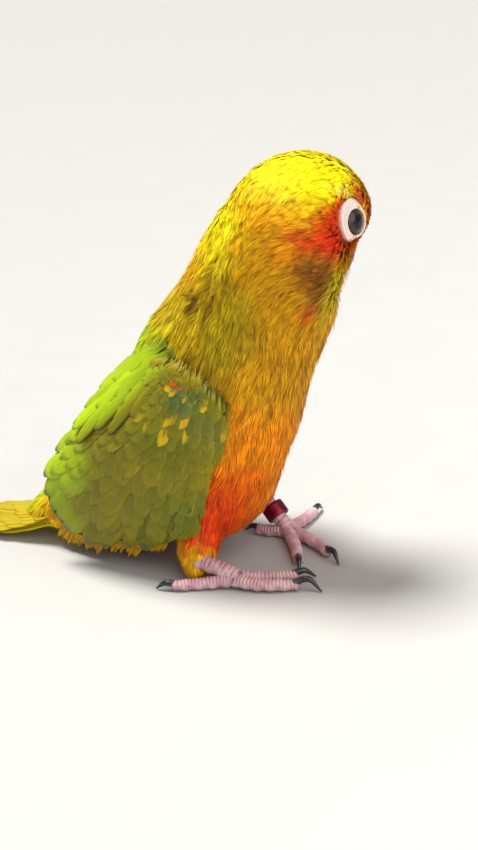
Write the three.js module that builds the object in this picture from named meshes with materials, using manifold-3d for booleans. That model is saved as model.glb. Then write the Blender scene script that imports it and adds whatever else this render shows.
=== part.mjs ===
// A sun conure standing on a flat floor, head turned to its left and bent down, as a still life-size model.
// Millimetres, +Z up. In the bird's own frame +X is forward, +Y is its left side and the floor is z = 0.
import * as THREE from "three";
import { mergeVertices } from "three/addons/utils/BufferGeometryUtils.js";
import Module from "manifold-3d";

const wasm = await Module();
wasm.setup();

// Driving dimensions
const GAP = 0.3; // clearance between touching nodes
const TAIL_LENGTH = 134;
const HEAD_CENTRE = [27.2, 5, 125.4];
const HEAD_YAW = 78;
const HEAD_PITCH = -42;
const EYE_RADIUS = 4.8;
const EYE_PLACE = [1.6, 12.8, -2.2]; // forward, sideways and up from the head's centre
const TARSUS_RADIUS = 2.6;
const TOE_RADIUS = 2.1;
const RING_RADIUS = 4.3;
const RING_WIDTH = 5.2;

const rad = THREE.MathUtils.degToRad;
const lerp = THREE.MathUtils.lerp;
const vec = (x, y, z) => new THREE.Vector3(x, y, z);
const clamp01 = (x) => Math.min(Math.max(x, 0), 1);
const smooth = (x) => clamp01(x) * clamp01(x) * (3 - 2 * clamp01(x));

// A repeatable random number from -1 to 1 for each seed.
function jitter(seed) {
  const s = Math.sin(seed * 127.1 + 11.7) * 43758.5453;
  return 2 * (s - Math.floor(s)) - 1;
}

// A frame whose columns are forward, left and up.
function frameAt(centre, yaw = 0, pitch = 0) {
  const turn = new THREE.Euler(0, -rad(pitch), rad(yaw), "ZYX");
  return new THREE.Matrix4().makeRotationFromEuler(turn).setPosition(...centre);
}

const headFrame = frameAt(HEAD_CENTRE, HEAD_YAW, HEAD_PITCH);
const onHead = (forward, left, up) => vec(forward, left, up).applyMatrix4(headFrame);

// Closed solids

// A solid from points and triangles, turned to face outwards.
function closedSolid(vertProperties, triVerts) {
  const build = () => new wasm.Manifold(new wasm.Mesh({ numProp: 3, vertProperties, triVerts }));
  const solid = build();
  if (solid.volume() > 0) return solid;
  for (let i = 0; i < triVerts.length; i += 3) {
    [triVerts[i + 1], triVerts[i + 2]] = [triVerts[i + 2], triVerts[i + 1]];
  }
  return build();
}

function solidFrom(geometry) {
  const plain = new THREE.BufferGeometry();
  plain.setAttribute("position", geometry.getAttribute("position").clone());
  plain.setIndex(geometry.index);
  const merged = mergeVertices(plain, 1e-4);
  const index = [];
  for (let i = 0; i < merged.index.count; i += 3) {
    const [a, b, c] = merged.index.array.slice(i, i + 3);
    if (a !== b && b !== c && c !== a) index.push(a, b, c);
  }
  return closedSolid(merged.attributes.position.array, new Uint32Array(index));
}

function geometryFrom(solid) {
  const mesh = solid.getMesh();
  const points = new Float32Array(mesh.numVert * 3);
  for (let i = 0; i < mesh.numVert; i++) {
    points.set(mesh.vertProperties.subarray(i * mesh.numProp, i * mesh.numProp + 3), i * 3);
  }
  const geometry = new THREE.BufferGeometry();
  geometry.setAttribute("position", new THREE.BufferAttribute(points, 3));
  geometry.setIndex(new THREE.BufferAttribute(mesh.triVerts, 1));
  geometry.computeVertexNormals();
  return geometry;
}

const unionOf = (solids) => solids.reduce((sum, next) => sum.add(next));

function largestOf(solid) {
  return solid.decompose().reduce((best, next) => (next.volume() > best.volume() ? next : best));
}

// A closed skin over rings of points, with a point at each end.
function skinOver(rings, first, last) {
  const around = rings[0].length;
  const points = [first, ...rings.flat(), last];
  const index = [];
  const at = (i, j) => 1 + i * around + (j % around);
  const end = points.length - 1;
  for (let j = 0; j < around; j++) {
    index.push(0, at(0, j + 1), at(0, j));
    index.push(end, at(rings.length - 1, j), at(rings.length - 1, j + 1));
    for (let i = 0; i + 1 < rings.length; i++) {
      index.push(at(i, j), at(i, j + 1), at(i + 1, j));
      index.push(at(i, j + 1), at(i + 1, j + 1), at(i + 1, j));
    }
  }
  const geometry = new THREE.BufferGeometry().setFromPoints(points);
  return closedSolid(geometry.attributes.position.array, new Uint32Array(index));
}

function boxSolid(size, matrix) {
  return solidFrom(new THREE.BoxGeometry(...size).applyMatrix4(matrix));
}

function ballSolid(centre, radius, detail = 16) {
  const ball = new THREE.SphereGeometry(radius, detail, Math.round(detail * 0.7));
  return solidFrom(ball.translate(centre.x, centre.y, centre.z));
}

// A round limb through a list of stops, each a point and a radius, with rounded ends.
function limb(stops, around = 10, steps = 12) {
  const path = new THREE.CatmullRomCurve3(stops.map((s) => vec(...s.at)));
  const radiusAt = (t) => {
    const place = t * (stops.length - 1);
    const i = Math.min(Math.floor(place), stops.length - 2);
    return lerp(stops[i].radius, stops[i + 1].radius, smooth(place - i) * 0.5 + (place - i) * 0.5);
  };
  const rings = [];
  const ringAt = (t, along, scale) => {
    const centre = path.getPoint(t);
    const tangent = path.getTangent(t);
    const side = vec(0, 0, 1).cross(tangent);
    if (side.length() < 0.2) side.set(0, 1, 0);
    side.normalize();
    const up = tangent.clone().cross(side);
    const radius = radiusAt(t);
    const ring = [];
    for (let j = 0; j < around; j++) {
      const turn = (j / around) * 2 * Math.PI;
      ring.push(
        centre
          .clone()
          .addScaledVector(tangent, along * radius)
          .addScaledVector(side, Math.cos(turn) * radius * scale)
          .addScaledVector(up, Math.sin(turn) * radius * scale),
      );
    }
    rings.push(ring);
  };
  ringAt(0, -0.7, 0.65);
  for (let i = 0; i <= steps; i++) ringAt(i / steps, 0, 1);
  ringAt(1, 0.7, 0.65);
  const start = path.getPoint(0).addScaledVector(path.getTangent(0), -radiusAt(0));
  const end = path.getPoint(1).addScaledVector(path.getTangent(1), radiusAt(1));
  return skinOver(rings, start, end);
}

// The floor cut, which leaves a small flat wherever a limb would reach below it.
function aboveFloor(solid) {
  const slab = boxSolid([600, 400, 60], new THREE.Matrix4().makeTranslation(-60, 0, -30));
  return largestOf(solid.subtract(slab));
}

// The feathered body as a blend of ellipsoids, each with its centre, half sizes, turn and blend width.

const BLOBS = [
  { on: "head", at: [-2, 0, 1], half: [17, 15.6, 16.5], blend: 1 },
  { on: "head", at: [6.5, 0, 3], half: [9.5, 13.4, 12.5], blend: 6 },
  { on: "head", at: [-2, -1, -8], half: [11, 13.5, 11], blend: 6 },
  { on: "head", at: [-12, 3.5, -5.5], half: [14.5, 16, 16], blend: 8 },
  { at: [17.8, -9.8, 111.5], half: [23.4, 15, 22], pitch: 56, blend: 10 },
  { at: [8, -9, 109], half: [21, 14.5, 17], pitch: 56, blend: 8 },
  { at: [20, 3, 101.5], half: [11.5, 12.5, 14], pitch: 20, blend: 8 },
  { at: [7.4, -1.6, 95.5], half: [24.5, 21, 24.5], pitch: 50, blend: 8 },
  { at: [-9.2, 0, 73], half: [31.5, 26.3, 29], pitch: 52, blend: 14 },
  { at: [-19, 0, 50], half: [35, 27, 30.5], pitch: 50, blend: 14 },
  { at: [-34, 0, 40], half: [36, 25, 25], pitch: 40, blend: 14 },
  { at: [-15, 0, 25], half: [19, 19, 15], pitch: 35, blend: 12 },
  { at: [-60, 0, 23], half: [26, 17.5, 15], pitch: 28, blend: 14 },
  { at: [-84, 0, 12], half: [17, 10.5, 7], pitch: 22, blend: 12 },
].map((blob) => {
  const placed = frameAt(blob.at, 0, blob.pitch ?? 0);
  if (blob.on === "head") placed.premultiply(headFrame);
  return { inverse: placed.invert(), half: blob.half, blend: blob.blend };
});

// Signed distance to the body, about true near its surface and negative inside.
function bodyDistance(point) {
  let sum = null;
  for (const blob of BLOBS) {
    const p = point.clone().applyMatrix4(blob.inverse);
    const [a, b, c] = blob.half;
    const near = Math.hypot(p.x / a, p.y / b, p.z / c);
    const slope = Math.hypot(p.x / a ** 2, p.y / b ** 2, p.z / c ** 2);
    const distance = slope < 1e-9 ? -Math.min(a, b, c) : (near * (near - 1)) / slope;
    if (sum === null) {
      sum = distance;
    } else {
      const overlap = Math.max(blob.blend - Math.abs(sum - distance), 0) / blob.blend;
      sum = Math.min(sum, distance) - overlap * overlap * blob.blend * 0.25;
    }
  }
  return sum;
}

const SPINE = new THREE.CatmullRomCurve3([
  vec(-88, 0, 11),
  vec(-70, 0, 26),
  vec(-46, 0, 37),
  vec(-25, 0, 52),
  vec(-8, 0, 74),
  vec(6, -2, 96),
  vec(16, -4, 112),
  vec(...HEAD_CENTRE),
]);

// Where a ray from inside the body meets the level of its distance function.
function surfaceAlong(origin, direction, level = 0) {
  let near = 0;
  let far = 70;
  for (let i = 0; i < 26; i++) {
    const middle = (near + far) / 2;
    const point = origin.clone().addScaledVector(direction, middle);
    if (bodyDistance(point) < level) near = middle;
    else far = middle;
  }
  return origin.clone().addScaledVector(direction, near);
}

// Cross axes carried along the spine without twist: up is the back's side.
function spineFrame(t) {
  const centre = SPINE.getPointAt(t);
  const tangent = SPINE.getTangentAt(t);
  const left = vec(0, 1, 0).addScaledVector(tangent, -tangent.y).normalize();
  const up = tangent.clone().cross(left);
  return { centre, tangent, left, up };
}

function bodySolid(level, along, around, caps) {
  const rings = [];
  const ringAt = (t, tilt) => {
    const { centre, tangent, left, up } = spineFrame(t);
    const ring = [];
    for (let j = 0; j < around; j++) {
      const turn = (j / around) * 2 * Math.PI;
      const direction = vec(0, 0, 0)
        .addScaledVector(up, Math.cos(turn) * Math.cos(tilt))
        .addScaledVector(left, Math.sin(turn) * Math.cos(tilt))
        .addScaledVector(tangent, Math.sin(tilt));
      ring.push(surfaceAlong(centre, direction, level));
    }
    rings.push(ring);
  };
  for (let i = 1; i < caps; i++) ringAt(0, (-Math.PI / 2) * (1 - i / caps));
  for (let i = 0; i <= along; i++) ringAt(i / along, 0);
  for (let i = 1; i < caps; i++) ringAt(1, ((Math.PI / 2) * i) / caps);
  const tail = spineFrame(0);
  const crown = spineFrame(1);
  const first = surfaceAlong(tail.centre, tail.tangent.clone().negate(), level);
  const last = surfaceAlong(crown.centre, crown.tangent, level);
  return skinOver(rings, first, last);
}

const body = bodySolid(0, 26, 26, 5);
const roomForBody = bodySolid(GAP, 26, 26, 5);

// A thin cut across the body at a place along the spine.
function cutAcross(t, size) {
  const { centre, tangent, left, up } = spineFrame(t);
  const placed = new THREE.Matrix4().makeBasis(tangent, left, up).setPosition(centre);
  return boxSolid([GAP, size, size], placed);
}

const NECK_CUT = 0.62;
const HEAD_CUT = 0.85;
const TAIL_CUT = 0.05;

function bodyPieces() {
  const cut = body
    .subtract(cutAcross(NECK_CUT, 90))
    .subtract(cutAcross(HEAD_CUT, 90))
    .subtract(cutAcross(TAIL_CUT, 60));
  const height = (solid) => solid.boundingBox().max[2];
  const pieces = cut.decompose().sort((a, b) => height(b) - height(a));
  return { head: pieces[0], neck: pieces[1], torso: pieces[2], tailRoot: pieces[3] };
}

const pieces = bodyPieces();
const group = new THREE.Group();

function material(color, roughness, metalness = 0) {
  return new THREE.MeshStandardMaterial({ color, roughness, metalness, flatShading: true });
}
const YELLOW = material(0xe8b818, 0.8);
const GREEN = material(0x7c8f1e, 0.75);
const ORANGE = material(0xe06a14, 0.8);
const PINK = material(0xcf9a9c, 0.55);
const CLAW = material(0x2c2a2c, 0.4);
const BEAK = material(0x1c1b1d, 0.4);
const EYE = material(0x241d1b, 0.08);
const RING = material(0x8c1836, 0.35, 0.6);

function addNode(name, solid, look) {
  if (solid.isEmpty()) throw new Error(name + " is empty: " + solid.status());
  const mesh = new THREE.Mesh(geometryFrom(largestOf(solid)), look);
  mesh.name = name;
  group.add(mesh);
}

// Eyes, each in a socket between raised lids, and the bare ring round them.

const LID_PROFILE = [
  [0, 0],
  [6.6, 0],
  [6.4, 2.4],
  [5.6, 3.3],
  [4.6, 3.9],
  [3.9, 3.7],
  [3.3, 2.6],
  [0, 2.6],
];

function eyeParts(side) {
  const centre = onHead(EYE_PLACE[0], side * EYE_PLACE[1], EYE_PLACE[2]);
  const outward = vec(0.06, side, 0.05).transformDirection(headFrame);
  const turn = new THREE.Quaternion().setFromUnitVectors(vec(0, 1, 0), outward);
  const lids = new THREE.LatheGeometry(
    LID_PROFILE.map(([radius, height]) => new THREE.Vector2(radius, height)),
    18,
  );
  lids.applyMatrix4(new THREE.Matrix4().compose(centre, turn, vec(1, 1, 1)));
  return {
    ball: ballSolid(centre, EYE_RADIUS, 14),
    lids: solidFrom(lids),
    socket: ballSolid(centre, EYE_RADIUS + GAP, 14),
  };
}

const eyes = { left: eyeParts(1), right: eyeParts(-1) };

// The hooked upper bill with its cere and nostrils, over the cup of the lower bill.

const UPPER_BILL = [
  { at: [8, 0, 1.5], radius: 6 },
  { at: [15, 0, 0.8], radius: 6 },
  { at: [20.2, 0, -1.8], radius: 4.9 },
  { at: [23.2, 0, -6.8], radius: 3 },
  { at: [22.8, 0, -12.4], radius: 0.9 },
];
const LOWER_BILL = [
  { at: [8, 0, -6.5], radius: 4.8 },
  { at: [14, 0, -8.6], radius: 4.7 },
  { at: [19.4, 0, -10.8], radius: 3.4 },
];
const BILL_NARROWING = 0.86;

function headLimb(stops, grow = 0) {
  const matrix = headFrame.clone().multiply(new THREE.Matrix4().makeScale(1, BILL_NARROWING, 1));
  const plain = limb(stops.map((s) => ({ at: s.at, radius: s.radius + grow })), 12, 8);
  return solidFrom(geometryFrom(plain).applyMatrix4(matrix));
}

function upperBill() {
  let bill = headLimb(UPPER_BILL);
  for (const side of [1, -1]) {
    bill = bill.add(ballSolid(onHead(16, side * 2.5, 4.2), 2.3, 12));
  }
  bill = bill.subtract(roomForBody);
  for (const side of [1, -1]) {
    bill = bill.subtract(ballSolid(onHead(17.8, side * 3, 5), 0.75, 8));
  }
  return bill;
}

// Legs. Each thigh is a feathered cone, and each foot has two toes in front and two behind.

const LEGS = {
  right: {
    thigh: [
      { at: [-18, -10, 32], radius: 12 },
      { at: [-17, -14, 18], radius: 9 },
      { at: [-16, -19, 9.5], radius: 6.8 },
      { at: [-15.5, -22, 5], radius: 4.4 },
    ],
    tarsus: [
      { at: [-17, -22.6, 7.6], radius: 2.4 },
      { at: [-9.5, -23.2, 7.2], radius: 2.7 },
      { at: [1, -22.8, 3.4], radius: 2.9 },
    ],
    toes: [
      {
        path: [[1, -21.5, 3], [10, -17.5, 2.4], [18, -12.6, 2]],
        claw: [[17.4, -13, 2.6], [21, -10.8, 3.4], [24, -9, 0.9]],
      },
      {
        path: [[1, -24, 3], [11.5, -23.4, 2.4], [21.5, -19.4, 2.1]],
        claw: [[20.8, -19.7, 3], [26, -18.4, 4.4], [30.4, -18.8, 0.9]],
      },
      {
        path: [[0, -23.6, 2.8], [-9, -27.6, 2.2], [-18.5, -32, 2]],
        claw: [[-17.8, -31.7, 2.4], [-21.8, -33, 3], [-25, -33.4, 0.9]],
      },
      {
        path: [[1, -21.8, 2.8], [-5, -18.6, 2.2], [-10.5, -16.4, 2]],
        claw: [[-9.8, -16.6, 2.4], [-13.2, -15.6, 2.8], [-16, -15, 0.9]],
      },
    ],
  },
  left: {
    thigh: [
      { at: [-20, 10, 34], radius: 12 },
      { at: [-15, 16, 25], radius: 9 },
      { at: [-11, 20.4, 17], radius: 5.8 },
      { at: [-9.4, 21.8, 14], radius: 3.9 },
    ],
    tarsus: [
      { at: [-10.5, 22.2, 17.5], radius: 2.5 },
      { at: [-7.4, 22, 12], radius: 2.6 },
      { at: [1, 19.4, 3.6], radius: 2.9 },
    ],
    toes: [
      {
        path: [[2, 18, 3], [9, 8, 2.4], [14, -0.5, 2]],
        claw: [[13.6, 0.2, 2.6], [15.6, -3.4, 3], [16.8, -6.2, 0.9]],
      },
      {
        path: [[2, 19, 3], [12.5, 14.4, 2.4], [22, 7.6, 2.1]],
        claw: [[21.4, 8.2, 3], [25.4, 5, 3.8], [28.2, 2, 0.9]],
      },
      {
        path: [[1, 20, 2.8], [2.6, 29.5, 2.4], [3, 38.5, 2]],
        claw: [[3, 37.8, 2.4], [3.4, 42, 3.2], [3.4, 45.4, 0.9]],
      },
      {
        path: [[1, 19.4, 2.8], [-5, 18.4, 2.2], [-10.5, 18.8, 2]],
        claw: [[-9.8, 18.8, 2.4], [-13.6, 19.2, 2.8], [-16.4, 19.4, 0.9]],
      },
    ],
  },
};
const CLAW_RADII = [1.35, 1.05, 0.35];

const thickened = (stops, grow) => stops.map((s) => ({ at: s.at, radius: s.radius + grow }));

function toeStops(toe, grow = 0) {
  const radii = [TOE_RADIUS + 0.4, TOE_RADIUS, TOE_RADIUS - 0.25];
  return toe.path.map((at, i) => ({ at, radius: radii[i] + grow }));
}

function legParts(leg) {
  const thigh = limb(leg.thigh, 16, 9).subtract(roomForBody);
  const thighRoom = limb(thickened(leg.thigh, GAP), 16, 9);
  const shank = limb(leg.tarsus, 10, 4).subtract(thighRoom);
  const foot = unionOf([shank, ...leg.toes.map((toe) => limb(toeStops(toe), 8, 6))]);
  const claws = leg.toes.map((toe) => {
    const stops = toe.claw.map((at, i) => ({ at, radius: CLAW_RADII[i] }));
    return limb(stops, 6, 5).subtract(limb(toeStops(toe, GAP), 8, 6));
  });
  return { thigh: aboveFloor(thigh), thighRoom, foot: aboveFloor(foot), claws };
}

// The metal ring that the left leg wears.
function legRing() {
  const [, ankle, pad] = LEGS.left.tarsus.map((s) => vec(...s.at));
  const axis = pad.clone().sub(ankle).normalize();
  const centre = ankle.clone().lerp(pad, 0.36);
  const inner = TARSUS_RADIUS + 0.75;
  const half = RING_WIDTH / 2;
  const profile = [
    [inner, -half],
    [RING_RADIUS, -half],
    [RING_RADIUS, half],
    [inner, half],
    [inner, -half],
  ].map(([radius, height]) => new THREE.Vector2(radius, height));
  const turn = new THREE.Quaternion().setFromUnitVectors(vec(0, 1, 0), axis);
  const ring = new THREE.LatheGeometry(profile, 24);
  ring.applyMatrix4(new THREE.Matrix4().compose(centre, turn, vec(1, 1, 1)));
  return solidFrom(ring);
}

// One feather vane: a thin tapering blade laid over a surface that chart(u, v, h) maps to space.
// It starts sunk to the depth of its root, rises to its lift, and tilts so that it overlaps like a tile.
function vane(chart, shape) {
  const { from, angle, length, width, depth, lift, tilt = 0.4, bend = 0, thick = 1 } = shape;
  const stops = shape.stops ?? [0.08, 0.52, 0.88];
  const along = [Math.cos(rad(angle)), Math.sin(rad(angle))];
  const across = [-along[1], along[0]];
  const at = (t, side, height) => {
    const u = from[0] + along[0] * length * t + across[0] * (side + bend * t * t);
    const v = from[1] + along[1] * length * t + across[1] * (side + bend * t * t);
    return chart(u, v, height);
  };
  const rings = stops.map((t) => {
    const half = (width / 2) * (t < 0.55 ? lerp(0.6, 1, t / 0.55) : Math.sqrt(1 - ((t - 0.55) / 0.52) ** 2));
    const base = lerp(-depth, lift, smooth(t / 0.45));
    const edge = 0.28;
    return [
      at(t, -half, base - tilt + edge),
      at(t, 0, base + thick / 2),
      at(t, half, base + tilt + edge),
      at(t, half, base + tilt - edge),
      at(t, 0, base - thick / 2),
      at(t, -half, base - tilt - edge),
    ];
  });
  return skinOver(rings, at(0, 0, -depth), at(1, 0, lift));
}

// Wings. Places on a wing are given from its wrist: a back along it, b down and forward, h outward.

const WRIST = [0, 0, 57];
const WING_SLOPE = 33;
const WING_WRAP = { above: 28, below: 85 }; // radii that it is bent round the body by
const FAN_CENTRE = [-28, -30]; // the point that the wing's feathers fan out from

// Half the bird's width over its folded wings, a behind the wrist, and the b of the widest place there.
const wingWidth = (a) => 29.8 + 0.11 * a - 0.0023 * a * a;
const wingMiddle = (a) => -9 - 9 * Math.exp(-Math.max(a, -5) / 12);

function wingChart(side) {
  const back = vec(-Math.cos(rad(WING_SLOPE)), 0, -Math.sin(rad(WING_SLOPE)));
  const down = vec(Math.sin(rad(WING_SLOPE)), 0, -Math.cos(rad(WING_SLOPE)));
  const out = vec(0, side, 0);
  const wrist = vec(...WRIST);
  return (a, b, h) => {
    const middle = wingMiddle(a);
    const wrap = b < middle ? WING_WRAP.above : WING_WRAP.below;
    const turn = (b - middle) / wrap;
    return wrist
      .clone()
      .addScaledVector(back, a)
      .addScaledVector(down, middle + Math.sin(turn) * (wrap + h))
      .addScaledVector(out, wingWidth(a) - wrap + Math.cos(turn) * (wrap + h));
  };
}

// How far from the fan's centre the flight feathers end, in each direction in degrees.
const WING_TIPS = [
  [-8, 68],
  [-4, 74],
  [0, 85],
  [4, 99],
  [9, 110],
  [17, 113],
  [25, 105],
  [33, 94],
  [44, 83],
  [50, 60],
];

function tipReach(angle) {
  for (let i = 0; i + 1 < WING_TIPS.length; i++) {
    const [a0, r0] = WING_TIPS[i];
    const [a1, r1] = WING_TIPS[i + 1];
    if (angle <= a1) return lerp(r0, r1, (angle - a0) / (a1 - a0));
  }
  return WING_TIPS[WING_TIPS.length - 1][1];
}

const WING_TIERS = [
  { count: 12, root: 64, tip: null, width: 13, from: -4, to: 43, lift: -0.3, depth: 2.6 },
  { count: 9, root: 50, tip: 80, width: 12.5, from: -3, to: 45, lift: 1, depth: 1.8 },
  { count: 8, root: 38, tip: 64, width: 11, from: -2, to: 46, lift: 2.1, depth: 1.2 },
];

// A covert ends at its tier's reach, and short of the flight feathers' tips.
function vaneEnd(tier, angle) {
  return tier.tip === null ? tipReach(angle) : Math.min(tier.tip, tipReach(angle) - 3);
}

function wingCore(chart) {
  const rings = [];
  const spokes = 22;
  const place = (r, turn, top) => {
    const a = 42 + 41 * r * Math.cos(turn);
    const b = -6 + 25 * r * Math.sin(turn);
    const dome = Math.sqrt(Math.max(1 - r * r, 0));
    return chart(a, b, top ? -1.2 * (1 - dome) : -1.4 - 7 * dome);
  };
  const ringAt = (r, top) => {
    const ring = [];
    for (let j = 0; j < spokes; j++) ring.push(place(r, (j / spokes) * 2 * Math.PI, top));
    rings.push(ring);
  };
  for (const r of [0.35, 0.7, 1]) ringAt(r, true);
  for (const r of [1, 0.75, 0.4]) ringAt(r, false);
  return skinOver(rings, place(0, 0, true), place(0, 0, false));
}

function wing(side, thighRoom) {
  const chart = wingChart(side);
  const solids = [wingCore(chart)];
  WING_TIERS.forEach((tier, row) => {
    for (let i = 0; i < tier.count; i++) {
      const seed = row * 40 + i;
      const angle = lerp(tier.from, tier.to, i / (tier.count - 1)) + 0.5 * jitter(seed);
      const end = vaneEnd(tier, angle) + 1.2 * jitter(seed + 7);
      const from = [
        FAN_CENTRE[0] + tier.root * Math.cos(rad(angle)),
        FAN_CENTRE[1] + tier.root * Math.sin(rad(angle)),
      ];
      solids.push(
        vane(chart, {
          from,
          angle: angle + 1.5 * jitter(seed + 3),
          length: end - tier.root,
          width: tier.width * (1 + 0.06 * jitter(seed + 5)),
          depth: tier.depth,
          lift: tier.lift,
          stops: tier.tip ? undefined : [0.05, 0.35, 0.7, 0.92],
        }),
      );
    }
  });
  return unionOf(solids).subtract(roomForBody).subtract(thighRoom);
}

// Tail. Places on it are given as u back from its root, v to the left and h up.

const TAIL_ROOT_X = -84;
const TAIL_LINE = new THREE.CatmullRomCurve3([
  vec(TAIL_ROOT_X + 12, 0, 15),
  vec(TAIL_ROOT_X, 0, 9.5),
  vec(TAIL_ROOT_X - 20, 0, 4.2),
  vec(TAIL_ROOT_X - 50, 0, 2.6),
  vec(TAIL_ROOT_X - TAIL_LENGTH, 0, 0.6),
  vec(TAIL_ROOT_X - TAIL_LENGTH - 12, 0, 0.2),
]);

function tailHeight(x) {
  let low = 0;
  let high = 1;
  for (let i = 0; i < 20; i++) {
    const middle = (low + high) / 2;
    if (TAIL_LINE.getPoint(middle).x > x) low = middle;
    else high = middle;
  }
  return TAIL_LINE.getPoint(low).z;
}

const tailChart = (u, v, h) => vec(TAIL_ROOT_X - u, v, tailHeight(TAIL_ROOT_X - u) + h - 0.012 * v * v);

function tailVanes() {
  const vanes = [];
  for (let pair = 5; pair >= 0; pair--) {
    for (const side of [1, -1]) {
      const length = TAIL_LENGTH * (1 - 0.085 * pair) * (1 + 0.01 * jitter(pair + 2 * side));
      vanes.push(
        vane(tailChart, {
          from: [-6, side * (0.8 + 0.8 * pair)],
          angle: side * (0.6 + 0.75 * pair),
          length: length + 6,
          width: 12.5 - 0.4 * pair,
          depth: 0.3 + 0.2 * pair,
          lift: 2.4 - 0.42 * pair - (side > 0 ? 0 : 0.2),
          tilt: -0.3 * side,
          thick: 0.9,
          stops: [0.04, 0.35, 0.7, 0.93],
        }),
      );
    }
  }
  for (let i = 0; i < 7; i++) {
    const v = (i - 3) * 2.6;
    const away = Math.abs(i - 3);
    vanes.push(
      vane(tailChart, {
        from: [-8, v],
        angle: (i - 3) * 1.4,
        length: 50 - 5 * away + 2 * jitter(60 + i),
        width: 9.5,
        depth: -0.6,
        lift: 3.8 - 0.5 * away,
        tilt: 0.1,
      }),
      vane(tailChart, {
        from: [-8, v * 0.9],
        angle: (i - 3) * 1.2,
        length: 44 - 4 * away + 2 * jitter(80 + i),
        width: 9.5,
        depth: 2.5,
        lift: -1.8 + 0.4 * away,
        tilt: 0.1,
      }),
    );
  }
  return vanes;
}

function tail() {
  const cutFace = spineFrame(TAIL_CUT);
  const placed = new THREE.Matrix4()
    .makeBasis(cutFace.tangent, cutFace.left, cutFace.up)
    .setPosition(cutFace.centre.clone().addScaledVector(cutFace.tangent, 30 - GAP / 2));
  const inFront = boxSolid([60, 80, 80], placed);
  return unionOf([pieces.tailRoot, ...tailVanes()]).subtract(inFront);
}

const head = pieces.head
  .add(eyes.left.lids)
  .add(eyes.right.lids)
  .subtract(eyes.left.socket)
  .subtract(eyes.right.socket);

const legs = { left: legParts(LEGS.left), right: legParts(LEGS.right) };
const wings = { left: wing(1, legs.left.thighRoom), right: wing(-1, legs.right.thighRoom) };
const bill = upperBill();
const billRoom = headLimb(UPPER_BILL, GAP);

addNode("head", head, YELLOW);
addNode("neck", pieces.neck, YELLOW);
addNode("torso", pieces.torso, ORANGE);
addNode("beak_upper", bill, BEAK);
addNode("beak_lower", headLimb(LOWER_BILL).subtract(roomForBody).subtract(billRoom), BEAK);
addNode("tail", aboveFloor(tail()), GREEN);
for (const side of ["left", "right"]) {
  addNode("eye_" + side, eyes[side].ball, EYE);
  addNode("wing_" + side, wings[side], GREEN);
  addNode("thigh_" + side, legs[side].thigh, ORANGE);
  addNode("foot_" + side, legs[side].foot, PINK);
  legs[side].claws.forEach((claw, i) => addNode(`claw_${side}_${i + 1}`, claw, CLAW));
}
addNode("leg_ring", legRing(), RING);

// The part's origin is the middle of its box, on the floor.
const box = new THREE.Box3().setFromObject(group);
group.position.set(-(box.min.x + box.max.x) / 2, -(box.min.y + box.max.y) / 2, 0);

export default group;
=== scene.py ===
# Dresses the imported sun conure: skin, feathers, eyes, bill, feet and leg ring, with a plain studio round it.
# Millimetres in the bird's own frame (+X forward, +Y its left side, floor at z = 0) until to_row turns them
# into metres in the row frame.
import math

import bpy
import mathutils
import numpy as np
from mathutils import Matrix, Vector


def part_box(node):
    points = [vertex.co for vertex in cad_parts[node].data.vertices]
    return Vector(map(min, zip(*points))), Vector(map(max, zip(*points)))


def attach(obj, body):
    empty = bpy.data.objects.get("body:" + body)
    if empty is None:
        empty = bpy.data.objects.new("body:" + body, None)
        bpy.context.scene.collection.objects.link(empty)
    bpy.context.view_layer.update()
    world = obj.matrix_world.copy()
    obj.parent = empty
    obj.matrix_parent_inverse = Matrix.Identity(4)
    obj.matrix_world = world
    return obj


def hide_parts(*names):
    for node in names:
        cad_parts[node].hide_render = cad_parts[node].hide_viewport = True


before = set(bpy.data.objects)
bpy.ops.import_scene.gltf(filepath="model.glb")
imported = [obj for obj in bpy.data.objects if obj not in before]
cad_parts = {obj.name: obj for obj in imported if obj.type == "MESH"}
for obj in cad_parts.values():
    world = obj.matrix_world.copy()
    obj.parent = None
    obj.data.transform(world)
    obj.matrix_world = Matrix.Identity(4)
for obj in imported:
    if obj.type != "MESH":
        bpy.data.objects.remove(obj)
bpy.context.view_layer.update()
rng = np.random.default_rng(4269)

# Sizes shared with the solids
HEAD_CENTRE = (27.2, 5, 125.4)
HEAD_YAW = 78
HEAD_PITCH = -42
EYE_RADIUS = 4.8
EYE_PLACE = (1.6, 12.8, -2.2)
BILL_NARROWING = 0.86
TAIL_ROOT_X = -84
TAIL_LENGTH = 134
WRIST = (0, 0, 57)
WING_SLOPE = 33
FAN_CENTRE = (-28, -30)

# Camera: where it stands, which way it looks and its focal length in pixels of the 478 x 850 picture
CAMERA_AT = (209.57, -404.01, 217.17)
CAMERA_AZIMUTH = 28
CAMERA_PITCH = 20
CAMERA_ROLL = 5
CAMERA_FOCAL = 1400
PICTURE_HEIGHT = 850

SIDES = (("left", 1), ("right", -1))
UPWARD = np.array([0.0, 0.0, 1.0])


def srgb(code):
    """A colour such as 0xE8B818 as linear red, green and blue."""
    channels = np.array([(code >> 16) & 255, (code >> 8) & 255, code & 255]) / 255
    return np.where(channels < 0.04045, channels / 12.92, ((channels + 0.055) / 1.055) ** 2.4)


def smooth(x):
    x = np.clip(x, 0, 1)
    return x * x * (3 - 2 * x)


def unit(vectors):
    return vectors / np.maximum(np.linalg.norm(vectors, axis=-1, keepdims=True), 1e-9)


def mixed(colour, other, share):
    """A colour, or a direction, moved towards another by a share from 0 to 1."""
    return colour * (1 - share) + other * share


def full_turn(count):
    """Angles spread evenly once round."""
    return np.linspace(0, 2 * math.pi, count, endpoint=False)


def ring_of(turn, one, other):
    """Directions round a ring that two directions at right angles span."""
    return np.outer(np.cos(turn), one) + np.outer(np.sin(turn), other)


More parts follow.
